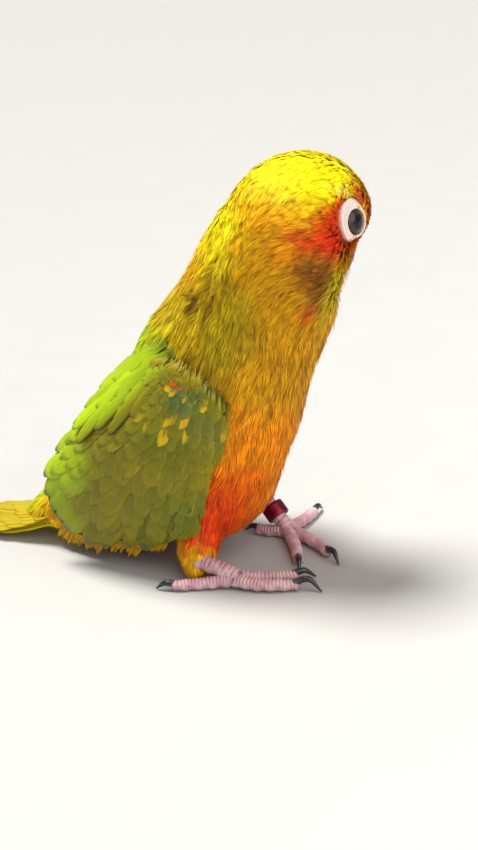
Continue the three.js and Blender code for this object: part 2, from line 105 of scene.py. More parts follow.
def frame_at(centre, yaw=0.0, pitch=0.0):
    """A 4x4 frame whose columns are forward, left and up."""
    y = math.radians(yaw)
    p = math.radians(pitch)
    made = np.eye(4)
    made[:3, 0] = math.cos(p) * math.cos(y), math.cos(p) * math.sin(y), math.sin(p)
    made[:3, 1] = -math.sin(y), math.cos(y), 0
    made[:3, 2] = -math.sin(p) * math.cos(y), -math.sin(p) * math.sin(y), math.cos(p)
    made[:3, 3] = centre
    return made


HEAD = frame_at(HEAD_CENTRE, HEAD_YAW, HEAD_PITCH)
HEAD_INVERSE = np.linalg.inv(HEAD)


def on_head(forward, left, up):
    return HEAD[:3, :3] @ np.array([forward, left, up], float) + HEAD[:3, 3]


def from_head(points):
    return points @ HEAD[:3, :3].T + HEAD[:3, 3]


def in_head(points):
    return points @ HEAD_INVERSE[:3, :3].T + HEAD_INVERSE[:3, 3]


eye_low, eye_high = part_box("eye_right")
SHIFT = (np.array(eye_low) + np.array(eye_high)) * 500 - on_head(EYE_PLACE[0], -EYE_PLACE[1], EYE_PLACE[2])


def to_row(points):
    return (np.asarray(points) + SHIFT) / 1000


def noise(points, size, seed=0):
    """Smooth random numbers from -1 to 1 in space, with features about that size."""
    place = np.asarray(points) / size + 17.3 * seed
    cell = np.floor(place).astype(np.int64)
    part = smooth(place - cell)
    total = np.zeros(place.shape[:-1])
    for corner in range(8):
        step = np.array([corner & 1, (corner >> 1) & 1, corner >> 2])
        at = cell + step
        scrambled = at[..., 0] * 73856093 ^ at[..., 1] * 19349663 ^ at[..., 2] * 83492791
        value = ((scrambled * 2654435761) & 0xFFFFFF) / 0x7FFFFF - 1
        total += value * np.prod(np.where(step == 1, part, 1 - part), axis=-1)
    return total


# The body's form, as in the solids: a blend of ellipsoids.

BODY_FORMS = [
    ("head", (-2, 0, 1), (17, 15.6, 16.5), 0, 1),
    ("head", (6.5, 0, 3), (9.5, 13.4, 12.5), 0, 6),
    ("head", (-2, -1, -8), (11, 13.5, 11), 0, 6),
    ("head", (-12, 3.5, -5.5), (14.5, 16, 16), 0, 8),
    ("body", (17.8, -9.8, 111.5), (23.4, 15, 22), 56, 10),
    ("body", (8, -9, 109), (21, 14.5, 17), 56, 8),
    ("body", (20, 3, 101.5), (11.5, 12.5, 14), 20, 8),
    ("body", (7.4, -1.6, 95.5), (24.5, 21, 24.5), 50, 8),
    ("body", (-9.2, 0, 73), (31.5, 26.3, 29), 52, 14),
    ("body", (-19, 0, 50), (35, 27, 30.5), 50, 14),
    ("body", (-34, 0, 40), (36, 25, 25), 40, 14),
    ("body", (-15, 0, 25), (19, 19, 15), 35, 12),
    ("body", (-60, 0, 23), (26, 17.5, 15), 28, 14),
    ("body", (-84, 0, 12), (17, 10.5, 7), 22, 12),
]
THIGHS = {
    "right": [((-18, -10, 32), 12), ((-17, -14, 18), 9), ((-16, -19, 9.5), 6.8), ((-15.5, -22, 5), 4.4)],
    "left": [((-20, 10, 34), 12), ((-15, 16, 25), 9), ((-11, 20.4, 17), 5.8), ((-9.4, 21.8, 14), 3.9)],
}
THIGH_BLEND = 5


def placed_forms():
    made = []
    for on, at, half, pitch, blend in BODY_FORMS:
        matrix = frame_at(at, 0, pitch)
        if on == "head":
            matrix = HEAD @ matrix
        made.append((np.linalg.inv(matrix), np.array(half, float), blend))
    return made


FORMS = placed_forms()

# The head is turned so far that the neck would cover its left eye: a round hollow keeps that eye clear.
HOLLOW_RADIUS = 14
HOLLOW_BLEND = 4
HOLLOW_CENTRE = on_head(EYE_PLACE[0] - 2, EYE_PLACE[1] + 17, EYE_PLACE[2])


def blended(one, other, width):
    overlap = np.maximum(width - np.abs(one - other), 0) / width
    return np.minimum(one, other) - overlap * overlap * width * 0.25


def body_distance(points):
    total = None
    for inverse, half, blend in FORMS:
        local = points @ inverse[:3, :3].T + inverse[:3, 3]
        near = np.linalg.norm(local / half, axis=-1)
        slope = np.maximum(np.linalg.norm(local / half**2, axis=-1), 1e-6)
        distance = near * (near - 1) / slope
        total = distance if total is None else blended(total, distance, blend)
    hollow = HOLLOW_RADIUS - np.linalg.norm(points - HOLLOW_CENTRE, axis=-1)
    return -blended(-total, -hollow, HOLLOW_BLEND)


def thigh_distance(points, side):
    total = None
    stops = THIGHS[side]
    for (a, ra), (b, rb) in zip(stops, stops[1:]):
        a = np.array(a, float)
        line = np.array(b, float) - a
        t = np.clip((points - a) @ line / (line @ line), 0, 1)
        distance = np.linalg.norm(points - a - t[..., None] * line, axis=-1) - (ra + (rb - ra) * t)
        total = distance if total is None else np.minimum(total, distance)
    return total


def flesh_distance(points):
    """Signed distance to the feathered body with its thighs, about true near the surface."""
    total = body_distance(points)
    for side in THIGHS:
        total = blended(total, thigh_distance(points, side), THIGH_BLEND)
    return total


def outward(points, distance=flesh_distance):
    """The surface's outward direction at each point."""
    step = 0.4
    parts = []
    for axis in range(3):
        offset = np.zeros(3)
        offset[axis] = step
        parts.append(distance(points + offset) - distance(points - offset))
    return unit(np.stack(parts, axis=-1))


def curve(stops, steps):
    """Points along a centripetal Catmull-Rom curve, with the same number of steps between all stops."""
    p = np.array(stops, float)
    p = np.vstack([2 * p[0] - p[1], p, 2 * p[-1] - p[-2]])
    made = []
    for place in np.linspace(0, len(stops) - 1, steps):
        i = min(int(place), len(stops) - 2)
        w = place - i
        p0, p1, p2, p3 = p[i : i + 4]
        d0, d1, d2 = (math.sqrt(np.linalg.norm(b - a)) for a, b in ((p0, p1), (p1, p2), (p2, p3)))
        m1 = ((p1 - p0) / d0 - (p2 - p0) / (d0 + d1)) * d1 + (p2 - p1)
        m2 = ((p3 - p2) / d2 - (p3 - p1) / (d1 + d2)) * d1 + (p2 - p1)
        h = w * w * (3 - 2 * w)
        made.append(p1 * (1 - h) + p2 * h + m1 * w * (1 - w) ** 2 - m2 * w * w * (1 - w))
    return np.array(made)


SPINE_STOPS = [
    (-88, 0, 11), (-70, 0, 26), (-46, 0, 37), (-25, 0, 52), (-8, 0, 74), (6, -2, 96), (16, -4, 112),
    HEAD_CENTRE,
]
SPINE = curve(SPINE_STOPS, 400)
SPINE_DIRECTION = unit(np.gradient(SPINE, axis=0))
SPINE_LENGTH = np.concatenate([[0], np.cumsum(np.linalg.norm(np.diff(SPINE, axis=0), axis=1))])
SPINE_LENGTH /= SPINE_LENGTH[-1]


def along_spine(points):
    """How far along the body each point is, 0 at the tail's root and 1 in the head, and the spine's index."""
    flat = np.asarray(points).reshape(-1, 3)
    nearest = np.empty(len(flat), int)
    batch = 20000
    every = 4
    for start in range(0, len(flat), batch):
        part = flat[start : start + batch]
        away = ((part[:, None, :] - SPINE[None, ::every, :]) ** 2).sum(-1)
        nearest[start : start + batch] = away.argmin(1) * every
    shape = np.asarray(points).shape[:-1]
    return SPINE_LENGTH[nearest].reshape(shape), nearest.reshape(shape)


# Markings. Colours are named for what they are on the bird.

PALE = srgb(0xFFF27A)
CROWN = srgb(0xFFF006)
GOLD = srgb(0xF0B400)
DEEP_GOLD = srgb(0xDC9E04)
OLIVE_GOLD = srgb(0xCEB20A)
OLIVE = srgb(0x8C7E0C)
LIME = srgb(0xB4CC08)
ORANGE = srgb(0xF39102)
DEEP_ORANGE = srgb(0xE85A02)
RED = srgb(0xE83C0C)
BROWN = srgb(0x84460C)

# The coat's ground colours: how far along the body, then the back's, the side's and the belly's colour.
GROUND = [
    (0.00, LIME, GOLD, CROWN),
    (0.14, LIME, GOLD, GOLD),
    (0.26, LIME, ORANGE, DEEP_ORANGE),
    (0.42, LIME, DEEP_ORANGE, DEEP_ORANGE),
    (0.52, LIME, ORANGE, ORANGE),
    (0.60, LIME, DEEP_GOLD, ORANGE),
    (0.68, OLIVE_GOLD, DEEP_GOLD, DEEP_GOLD),
    (0.75, OLIVE_GOLD, OLIVE_GOLD, DEEP_GOLD),
    (0.83, GOLD, OLIVE_GOLD, DEEP_GOLD),
    (0.89, CROWN, DEEP_GOLD, DEEP_GOLD),
    (0.94, CROWN, GOLD, GOLD),
    (1.00, CROWN, CROWN, GOLD),
]

# Patches over the ground: frame, centre, reach, colour, strength. Each is on both sides of its frame.
PATCHES = [
    ("head", (-24, 6, -9), (8, 8, 5), GOLD, 0.5),
    ("head", (-23, 2, -15), (6, 7, 4), ORANGE, 0.4),
    ("head", (-16, 9, -13), (6, 6, 4), GOLD, 0.8),
    ("head", (-9, 14.8, 2.2), (5.5, 4, 1.6), PALE, 0.6),
    ("head", (-16, 8, -21.5), (5.5, 5, 3), ORANGE, 0.5),
    ("head", (-13.5, 12.5, -17.5), (5, 5, 3), DEEP_ORANGE, 0.95),
    ("head", (-12.5, 14.5, -9), (3.5, 4, 5), DEEP_ORANGE, 0.75),
    ("head", (-8, 16, -2.5), (3.8, 4, 3), RED, 0.9),
    ("head", (-9, 16.5, -8), (4, 5, 5), RED, 0.95),
    ("head", (-7, 16.5, -13.5), (6.5, 6, 4.5), RED, 1.0),
    ("head", (0, 16.5, -12), (6, 6, 6.5), RED, 1.0),
    ("head", (7, 13, -6), (8, 8, 7), RED, 0.95),
    ("head", (0, 14.5, 6.4), (5, 4, 2), RED, 0.8),
    ("head", (12, 6, 5), (5, 8, 5), DEEP_ORANGE, 0.85),
    ("head", (-5, 14, -23), (6.5, 7, 5), BROWN, 0.8),
    ("head", (1, 14, -25), (5, 6, 6), BROWN, 0.85),
    ("head", (6, 12.5, -26), (4, 5, 5), BROWN, 0.6),
    ("head", (3, 11, -33), (1.8, 3, 3.4), DEEP_ORANGE, 0.9),
    ("head", (0, 10, -36), (1.6, 3, 3), DEEP_ORANGE, 0.8),
    ("body", (38, 3, 101), (5, 8, 14), CROWN, 0.85),
    # The next two olive patches lie on the neck's ruffles, as painted shade in the gaps between the ruffled
    # feathers.
    ("body", (7, 23, 113), (5, 8, 5), OLIVE, 0.35),
    ("body", (0, 22, 105), (5, 8, 5), OLIVE, 0.45),
    ("body", (10.8, 24, 93), (9, 9, 7), OLIVE, 0.3),
    ("body", (-7, 26, 82), (12, 9, 7), OLIVE, 0.6),
    ("body", (-24, 20, 84), (12, 12, 8), LIME, 0.6),
    ("body", (10, 20, 54), (10, 12, 12), ORANGE, 0.6),
    ("body", (3, 18, 40), (9, 12, 8), DEEP_ORANGE, 0.7),
    ("body", (-6, 20, 30), (11, 12, 9), RED, 0.8),
    ("body", (-12, 20, 20), (7, 10, 7), RED, 0.6),
    ("body", (-16, 21, 8), (9, 9, 7), GOLD, 0.95),
]


def patch_share(points, at, reach):
    """1 in the middle of a patch on either side of the bird and 0 well outside it."""
    mirrored = np.stack([points[..., 0], np.abs(points[..., 1]), points[..., 2]], axis=-1)
    away = np.linalg.norm((mirrored - np.array(at)) / np.array(reach), axis=-1)
    return smooth(1.6 - away)


def coat_colour(points):
    """The coat's marking colour at each point."""
    spread = points + 1.6 * np.stack([noise(points, 5, k) for k in (1, 2, 3)], axis=-1)
    share, nearest = along_spine(spread)
    centre = SPINE[nearest]
    tangent = SPINE_DIRECTION[nearest]
    up = np.cross(tangent, np.array([0.0, 1.0, 0.0]))
    ventral = -(unit(spread - centre) * unit(up)).sum(-1)
    share = share + 0.03 * noise(points, 9, 4)
    keys = [row[0] for row in GROUND]
    tables = [np.array([row[k] for row in GROUND]) for k in (1, 2, 3)]
    back, side, belly = (
        np.stack([np.interp(share, keys, table[:, channel]) for channel in range(3)], axis=-1)
        for table in tables
    )
    to_belly = smooth(ventral / 0.75)[..., None]
    to_back = smooth(-ventral / 0.75)[..., None]
    colour = side * (1 - to_belly) * (1 - to_back) + belly * to_belly + back * to_back
    head_points = in_head(spread)
    for on, at, reach, tone, strength in PATCHES:
        where = head_points if on == "head" else spread
        weight = (strength * patch_share(where, at, reach))[..., None]
        colour = mixed(colour, tone, weight)
    return colour


# How the coat lies: away from the bill round the face, and everywhere else down the body to the tail.

BILL_BASE = on_head(17, 0, -1)
EYES = {side: on_head(EYE_PLACE[0], sign * EYE_PLACE[1], EYE_PLACE[2]) for side, sign in SIDES}
EYE_OUT = {side: unit(HEAD[:3, :3] @ np.array([-0.12, sign, 0.0])) for side, sign in SIDES}
RING_REACH = 6.8
RING_SHIFT = HEAD[:3, :3] @ np.array([-2.3, 0.0, -0.6])
HEAD_BACK = HEAD[:3, :3] @ np.array([-0.707, 0.0, -0.707])
CHEEK_PUFF = (11, 10, -10)
PUFF_REACH = 5.5


def from_eye(points, side):
    """Each point's direction and distance from the eye's axis, and its height along it."""
    offset = points - EYES[side] - RING_SHIFT
    height = offset @ EYE_OUT[side]
    sideways = offset - height[..., None] * EYE_OUT[side]
    distance = np.linalg.norm(sideways, axis=-1)
    return sideways / np.maximum(distance, 1e-6)[..., None], distance, height


def cheek_puff(points):
    """1 where the cheek's feathers puff out over the side of the bill, 0 away from there."""
    return patch_share(in_head(points), CHEEK_PUFF, (PUFF_REACH,) * 3)


def lie_direction(points, normals):
    share, nearest = along_spine(points)
    away = points - BILL_BASE
    from_bill = np.linalg.norm(away, axis=-1)
    down_body = unit(-SPINE_DIRECTION[nearest] + np.array([0.0, 0.0, -0.3]))
    on_head_top = smooth((share - 0.82) / 0.14)[..., None]
    down_body = unit(mixed(down_body, HEAD_BACK, on_head_top))
    on_face = smooth(1 - (from_bill - 7) / 11)[..., None]
    flow = mixed(down_body, unit(away), on_face)
    puffed = cheek_puff(points)[..., None]
    sideways = np.where(in_head(points)[..., 1:2] > 0, 0.25, -0.25)
    beard = (np.array([0.35, 0.0, -0.9]) + sideways * np.array([0.0, 1.0, 0.0])) @ HEAD[:3, :3].T
    flow = mixed(flow, unit(beard), puffed)
    for side, sign in (("right", -1), ("left", 1)):
        on_thigh = smooth(1 - thigh_distance(points, side) / 3)[..., None]
        on_thigh = on_thigh * smooth((26 - points[..., 2]) / 8)[..., None]
        a = np.array(THIGHS[side][0][0], float)
        b = np.array(THIGHS[side][-1][0], float)
        flow = mixed(flow, unit(b - a), on_thigh)
        outside, distance, height = from_eye(points, side)
        inward = np.minimum((flow * outside).sum(-1), 0)
        near = smooth(1 - (distance - RING_REACH) / 6) * (height > 0)
        flow = flow - (1.15 * inward * near)[..., None] * outside
    flow = flow - (flow * normals).sum(-1, keepdims=True) * normals
    return unit(flow)


# Meshes

# Nothing comes nearer to the floor than this, in metres.
FLOOR_GAP = 0.0001


def new_object(name, data):
    made = bpy.data.objects.new(name, data)
    bpy.context.scene.collection.objects.link(made)
    return made


def add_piece(name, slot, points, faces, material, tint, bake_uv, vane_uv=None, replaces=()):
    """A smooth-shaded mesh piece from arrays that rides on the body. UVs and tints are per point."""
    mesh = bpy.data.meshes.new(name)
    placed = to_row(points)
    placed[:, 2] = np.maximum(placed[:, 2], FLOOR_GAP)
    mesh.vertices.add(len(placed))
    mesh.vertices.foreach_set("co", placed.astype(np.float32).ravel())
    corners = faces.ravel().astype(np.int32)
    mesh.loops.add(len(corners))
    mesh.loops.foreach_set("vertex_index", corners)
    mesh.polygons.add(len(faces))
    mesh.polygons.foreach_set("loop_start", np.arange(0, len(corners), faces.shape[1], dtype=np.int32))
    mesh.update(calc_edges=True)
    for layer_name, values in (("OFBake", bake_uv), ("VaneUV", vane_uv)):
        if values is not None:
            layer = mesh.uv_layers.new(name=layer_name)
            layer.uv.foreach_set("vector", values[corners].astype(np.float32).ravel())
    if tint is not None:
        layer = mesh.color_attributes.new("Tint", "FLOAT_COLOR", "POINT")
        layer.data.foreach_set("color", tint.astype(np.float32).ravel())
    mesh.validate()
    mesh.shade_smooth()
    made = new_object(name, mesh)
    mesh.materials.append(material)
    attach(made, "root")
    if replaces:
        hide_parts(*replaces)


def grid_faces(rows, columns, closed=False):
    """Quads over a grid of points, joined round to the first column if closed."""
    span = columns if closed else columns - 1
    i, j = np.meshgrid(np.arange(rows - 1), np.arange(span), indexing="ij")
    here = i * columns + j
    beside = i * columns + (j + 1) % columns
    return np.stack([here, beside, beside + columns, here + columns], axis=-1).reshape(-1, 4)


def with_alpha(colours, alpha):
    return np.concatenate([colours, np.broadcast_to(alpha, colours.shape[:-1])[..., None]], axis=-1)


# Materials

class Material:
    """A material's nodes, added and wired one by one."""

    def __init__(self, name, roughness, **constants):
        self.made = bpy.data.materials.new(name)
        self.made.use_nodes = True
        self.tree = self.made.node_tree
        self.shader = self.tree.nodes["Principled BSDF"]
        self.feed(self.shader, Roughness=roughness, **constants)

    def feed(self, node, **values):
        """Sets a node's inputs, or wires them to other nodes' outputs."""
        for name, value in values.items():
            socket = node.inputs[name.replace("_", " ")]
            if isinstance(value, bpy.types.NodeSocket):
                self.tree.links.new(value, socket)
            else:
                socket.default_value = value

    def add(self, kind, settings, **values):
        node = self.tree.nodes.new("ShaderNode" + kind)
        for name, value in settings.items():
            setattr(node, name, value)
        self.feed(node, **values)
        return node

    def math(self, operation, *values):
        node = self.add("Math", {"operation": operation})
        for socket, value in zip(node.inputs, values):
            if isinstance(value, (int, float)):
                socket.default_value = value
            else:
                self.tree.links.new(value, socket)
        return node.outputs[0]

    def tint(self):
        return self.add("Attribute", {"attribute_name": "Tint"})

    def bump(self, height, strength, distance):
        bump = self.add("Bump", {}, Strength=strength, Distance=distance, Height=height)
        self.feed(self.shader, Normal=bump.outputs["Normal"])


def feather_material(name, roughness, across, along, slant, depth, bump):
    """Feathers: the tint of each, with fine barbs running out from its shaft, and each a little different."""
    material = Material(name, roughness, Specular_IOR_Level=0.2)
    tint = material.tint()
    place = material.add("UVMap", {"uv_map": "VaneUV"})
    parts = material.add("SeparateXYZ", {}, Vector=place.outputs["UV"])
    sideways = material.math("SUBTRACT", parts.outputs["X"], 0.5)
    lag = material.math("MULTIPLY", material.math("ABSOLUTE", sideways), slant)
    run = material.math("SUBTRACT", parts.outputs["Y"], lag)
    stretch = material.add(
        "CombineXYZ", {}, X=material.math("MULTIPLY", parts.outputs["X"], across),
        Y=material.math("MULTIPLY", run, along), Z=material.math("MULTIPLY", tint.outputs["Alpha"], 97.0),
    )
    grain = material.add("TexNoise", {}, Scale=1.0, Detail=2.0, Vector=stretch.outputs["Vector"])
    shade = material.add(
        "MapRange", {}, From_Min=0.25, From_Max=0.75, To_Min=1 - depth, To_Max=1 + depth * 0.4,
        Value=grain.outputs["Fac"],
    )
    scale = material.add("VectorMath", {"operation": "SCALE"}, Scale=shade.outputs["Result"])
    material.tree.links.new(tint.outputs["Color"], scale.inputs[0])
    material.feed(material.shader, Base_Color=scale.outputs["Vector"])
    material.bump(grain.outputs["Fac"], bump, 0.0003)
    return material.made


def mottled_material(name, low, high, roughness, scale, bump, distance, tinted=False, **constants):
    """A surface that varies between two colours, or round its own tint, with a fine bumpy grain."""
    material = Material(name, roughness, **constants)
    place = material.add("TexCoord", {})
    grain = material.add("TexNoise", {}, Scale=scale, Detail=5.0, Vector=place.outputs["Object"])
    ramp = material.add("ValToRGB", {}, Fac=grain.outputs["Fac"])
    for stop, position, colour in zip(ramp.color_ramp.elements, (0.32, 0.68), (low, high)):
        stop.position = position
        stop.color = (*colour, 1)
    colour = ramp.outputs["Color"]
    if tinted:
        kind = {"data_type": "RGBA", "blend_type": "MULTIPLY"}
        tint = material.tint().outputs["Color"]
        colour = material.add("Mix", kind, Factor=1.0, A=tint, B=colour).outputs["Result"]
    rough = material.add(
        "MapRange", {}, To_Min=max(roughness - 0.12, 0.03), To_Max=min(roughness + 0.12, 1),
        Value=grain.outputs["Fac"],
    )
    material.feed(material.shader, Base_Color=colour, Roughness=rough.outputs["Result"])
    material.bump(grain.outputs["Fac"], bump, distance)
    return material.made


WHITE = np.ones(3)
FLESH = {"Subsurface_Radius": (0.004, 0.002, 0.001), "Subsurface_Scale": 0.3}
down_material = mottled_material("down", WHITE * 0.55, WHITE * 0.8, 0.9, 900, 0.5, 0.0004, tinted=True)
coat_material = feather_material("body_feather", 0.65, 16.0, 1.8, 0.3, 0.3, 0.35)
wing_material = feather_material("wing_feather", 0.52, 3.0, 26.0, 0.9, 0.26, 0.35)

# Skin: rings cast out from the spine, and the thighs' cones, a coat's depth inside the feathers' level.

COAT_DEPTH = 1.5
SKIN_ROWS = 210
SKIN_COLUMNS = 150
SKIN_CAP = 26


def cast_out(origins, directions, level, distance=flesh_distance):
    near = np.zeros(len(origins))
    far = np.full(len(origins), 70.0)
    for _ in range(22):
        middle = (near + far) / 2
        inside = distance(origins + directions * middle[:, None]) < level
        near = np.where(inside, middle, near)
        far = np.where(inside, far, middle)
    return origins + directions * near[:, None]


def skin_grid(level):
    """The skin's points as a grid: rings along the body, with a dome at each end."""
    index = np.linspace(0, len(SPINE) - 1, SKIN_ROWS).astype(int)
    ends = np.arange(1, SKIN_CAP) / SKIN_CAP
    rows = [(0, -math.pi / 2 * (1 - e)) for e in ends]
    rows += [(i, 0.0) for i in index]
    rows += [(len(SPINE) - 1, math.pi / 2 * e) for e in ends]
    turn = full_turn(SKIN_COLUMNS)
    origins = []
    directions = []
    for i, tilt in rows:
        tangent = SPINE_DIRECTION[i]
        left = unit(np.array([0.0, 1.0, 0.0]) - tangent * tangent[1])
        up = np.cross(tangent, left)
        ring = ring_of(turn, up, left)
        directions.append(ring * math.cos(tilt) + tangent * math.sin(tilt))
        origins.append(np.repeat(SPINE[i][None], SKIN_COLUMNS, 0))
    points = cast_out(np.concatenate(origins), np.concatenate(directions), level, body_distance)
    return points.reshape(len(rows), SKIN_COLUMNS, 3)


def thigh_grid(side, rows=26, columns=28):
    stops = THIGHS[side]
    centres = curve([at for at, _ in stops], rows)
    radii = np.interp(np.linspace(0, len(stops) - 1, rows), range(len(stops)), [r for _, r in stops])
    direction = unit(np.gradient(centres, axis=0))
    turn = full_turn(columns)
    across = unit(np.cross(direction, np.array([1.0, 0, 0])))
    over = np.cross(direction, across)
    ring = np.cos(turn)[None, :, None] * across[:, None] + np.sin(turn)[None, :, None] * over[:, None]
    return centres[:, None] + ring * (radii - COAT_DEPTH)[:, None, None], radii


body_grid = skin_grid(-COAT_DEPTH)
BODY_UV_SHARE = 0.84


def grid_uv(rows, columns, low, high):
    """The patch of the OFBake map between two corners, for a grid of points."""
    down = np.linspace(low[1], high[1], rows)
    v, u = np.meshgrid(down, np.linspace(low[0], high[0], columns), indexing="ij")
    return np.stack([u, v], axis=-1)


body_uv = grid_uv(body_grid.shape[0], SKIN_COLUMNS, (0.01, 0.01), (0.99, BODY_UV_SHARE))
THIGH_UV = {"right": ((0.02, 0.87), (0.48, 0.99)), "left": ((0.52, 0.87), (0.98, 0.99))}


def sunk_at_eyes(points):
    """The skin pressed in under each eye and its ring, so that it stays below them."""
    for side in EYES:
        axis = EYE_OUT[side]
        offset = points - EYES[side]
        height = offset @ axis
        distance = np.linalg.norm(offset - height[:, None] * axis, axis=-1)
        above = np.maximum(height - np.interp(distance, [4.6, 8], [0.6, 9]), 0) * (distance < 8)
        points = points - above[:, None] * axis
    return points


def build_skin():
    points = [body_grid.reshape(-1, 3)]
    uvs = [body_uv.reshape(-1, 2)]
    faces = [grid_faces(body_grid.shape[0], SKIN_COLUMNS, closed=True)]
    for side in THIGHS:
        grid, _ = thigh_grid(side)
        start = sum(len(p) for p in points)
        points.append(grid.reshape(-1, 3))
        uvs.append(grid_uv(grid.shape[0], grid.shape[1], *THIGH_UV[side]).reshape(-1, 2))
        faces.append(grid_faces(grid.shape[0], grid.shape[1], closed=True) + start)
    points = sunk_at_eyes(np.concatenate(points))
    # The skin takes the coat's colours at half strength, as painted shade where it shows between the feathers.
    tint = coat_colour(points) * 0.5
    faces = np.concatenate(faces)[:, ::-1]
    nodes = ("head", "neck", "torso", "thigh_left", "thigh_right")
    tint = with_alpha(tint, 1)
    uvs = np.concatenate(uvs)
    add_piece("skin", "yellow_feathers", points, faces, down_material, tint, uvs, replaces=nodes)


build_skin()

# Where the body's feathers grow

def feather_size(points):
    """Length, width and spacing of the feathers at each place."""
    share, _ = along_spine(points)
    from_bill = np.linalg.norm(points - BILL_BASE, axis=-1)
    length = np.interp(share, [0, 0.3, 0.6, 0.75, 0.9, 1], [13, 13, 12, 10.5, 8, 7])
    length = length * np.interp(from_bill, [7, 13, 28], [0.42, 0.65, 1]) * (1 + 0.5 * cheek_puff(points))
    for side in EYES:
        _, distance, height = from_eye(points, side)
        length = length * np.interp(distance + 9 * (height < 0), [RING_REACH, 13], [0.5, 1])
        on_thigh = smooth(1 - thigh_distance(points, side) / 2) * smooth((24 - points[..., 2]) / 8)
        length = length * (1 - 0.4 * on_thigh)
    width = length * np.interp(share, [0, 0.5, 0.75, 0.9, 1], [0.34, 0.32, 0.28, 0.27, 0.27])
    return length, width, length * np.interp(share, [0, 0.6, 0.9, 1], [0.145, 0.14, 0.145, 0.15])


BARE_BILL = on_head(17, 0, -3)
BARE_BILL_REACH = 7
LOWEST_ROOT = 1.2


def bare(points):
    """True where no feathers grow: the bill, the rings round the eyes and close to the floor."""
    made = np.linalg.norm(points - BARE_BILL, axis=-1) < BARE_BILL_REACH
    for side in EYES:
        _, distance, height = from_eye(points, side)
        made |= (distance < RING_REACH) & (height > 0)
    return made | (points[:, 2] < LOWEST_ROOT)


def candidates(grid, uv, count):
    """Random places spread evenly by area over a closed grid, with their UVs."""
    after = np.roll(grid, -1, axis=1)
    across = after[:-1] - grid[:-1]
    along = grid[1:] - grid[:-1]
    area = np.linalg.norm(np.cross(across, along), axis=-1)
    chosen = rng.choice(area.size, size=count, p=(area / area.sum()).ravel())
    i, j = np.unravel_index(chosen, area.shape)
    a = rng.random((count, 1))
    b = rng.random((count, 1))
    step_u = uv[0, 1, 0] - uv[0, 0, 0]
    step_v = uv[1, 0, 1] - uv[0, 0, 1]
    found_uv = uv[i, j] + np.concatenate([a * step_u, b * step_v], axis=1)
    return grid[i, j] + across[i, j] * a + along[i, j] * b, found_uv


def spread_out(points, spacing):
    """Keeps points, in order, that are no nearer to a kept one than their spacing."""
    cell = float(spacing.max())
    table = {}
    kept = []
    keys = np.floor(points / cell).astype(int)
    for index, (key, point, gap) in enumerate(zip(map(tuple, keys), points, spacing)):
        x, y, z = key
        crowded = False
        for near in ((x + i, y + j, z + k) for i in (-1, 0, 1) for j in (-1, 0, 1) for k in (-1, 0, 1)):
            for other in table.get(near, ()):
                if ((points[other] - point) ** 2).sum() < gap * gap:
                    crowded = True
                    break
            if crowded:
                break
        if not crowded:
            table.setdefault(key, []).append(index)
            kept.append(index)
    return np.array(kept)


BODY_CANDIDATES = 90000
THIGH_CANDIDATES = 3000


def body_roots():
    """Where the coat's feathers are rooted on the skin, with their UVs."""
    points, uvs = candidates(body_grid, body_uv, BODY_CANDIDATES)
    for side in THIGHS:
        grid, _ = thigh_grid(side)
        uv = grid_uv(grid.shape[0], grid.shape[1], *THIGH_UV[side])
        more, more_uv = candidates(grid, uv, THIGH_CANDIDATES)
        below = body_distance(more) > -COAT_DEPTH * 1.2
        points = np.concatenate([points, more[below]])
        uvs = np.concatenate([uvs, more_uv[below]])
    outer = flesh_distance(points) > -COAT_DEPTH * 1.6
    keep = outer & ~bare(points)
    points = points[keep]
    uvs = uvs[keep]
    kept = spread_out(points, feather_size(points)[2])
    return points[kept], uvs[kept]


# Body feathers: each a small curved blade that parts into loose strands, laid along the body's own form.

BLADE_STATIONS = (0.0, 0.22, 0.42)
STRAND_STATIONS = (0.74, 1.0)
COLUMNS = np.linspace(-1, 1, 7)
BLADE_WIDTH = (0.55, 0.9, 1.0)
RUFFLES = [(np.array([7.0, -23.0, 115.0]), 5.5), (np.array([0.0, -22.0, 105.0]), 6.5)]


def settle(points, level):
    """Moves points along the surface's own direction until they lie at the level."""
    for _ in range(2):
        normals = outward(points)
        points = points - normals * (flesh_distance(points) - level)[:, None]
    return points, normals


def feather_paths(roots, length, ruffled):
    """Each feather's shaft, with its sideways and upward directions, at every station."""
    count = len(roots)
    loose = rng.random(count) ** 6 * 0.8 * (1 - 0.7 * on_crown(roots))
    loose = loose + ruffled * rng.random(count) * 1.3
    over = rng.random(count)
    puff = cheek_puff(roots) * rng.uniform(1.0, 2.3, count)
    normals = outward(roots)
    flow = lie_direction(roots, normals)
    swing = 0.3 * noise(roots, 8, 21) + rng.normal(0, 0.09, count)
    swing = swing + ruffled * rng.normal(0, 0.45, count)
    side = np.cross(normals, flow)
    flow = unit(flow * np.cos(swing)[:, None] + side * np.sin(swing)[:, None])
    first_flow = flow
    paths = []
    here = roots
    at = 0.0
    for t in BLADE_STATIONS + STRAND_STATIONS:
        here = here + flow * ((t - at) * length)[:, None]
        at = t
        level = -COAT_DEPTH * (1 - t) ** 1.3 * 0.95 + 0.35 * over * smooth(t * 2.5)
        level = level + loose * t * t + puff * t * t
        here, normals = settle(here, level)
        flow = unit(flow - (flow * normals).sum(-1, keepdims=True) * normals)
        paths.append((here, np.cross(normals, flow), normals))
    return paths, first_flow


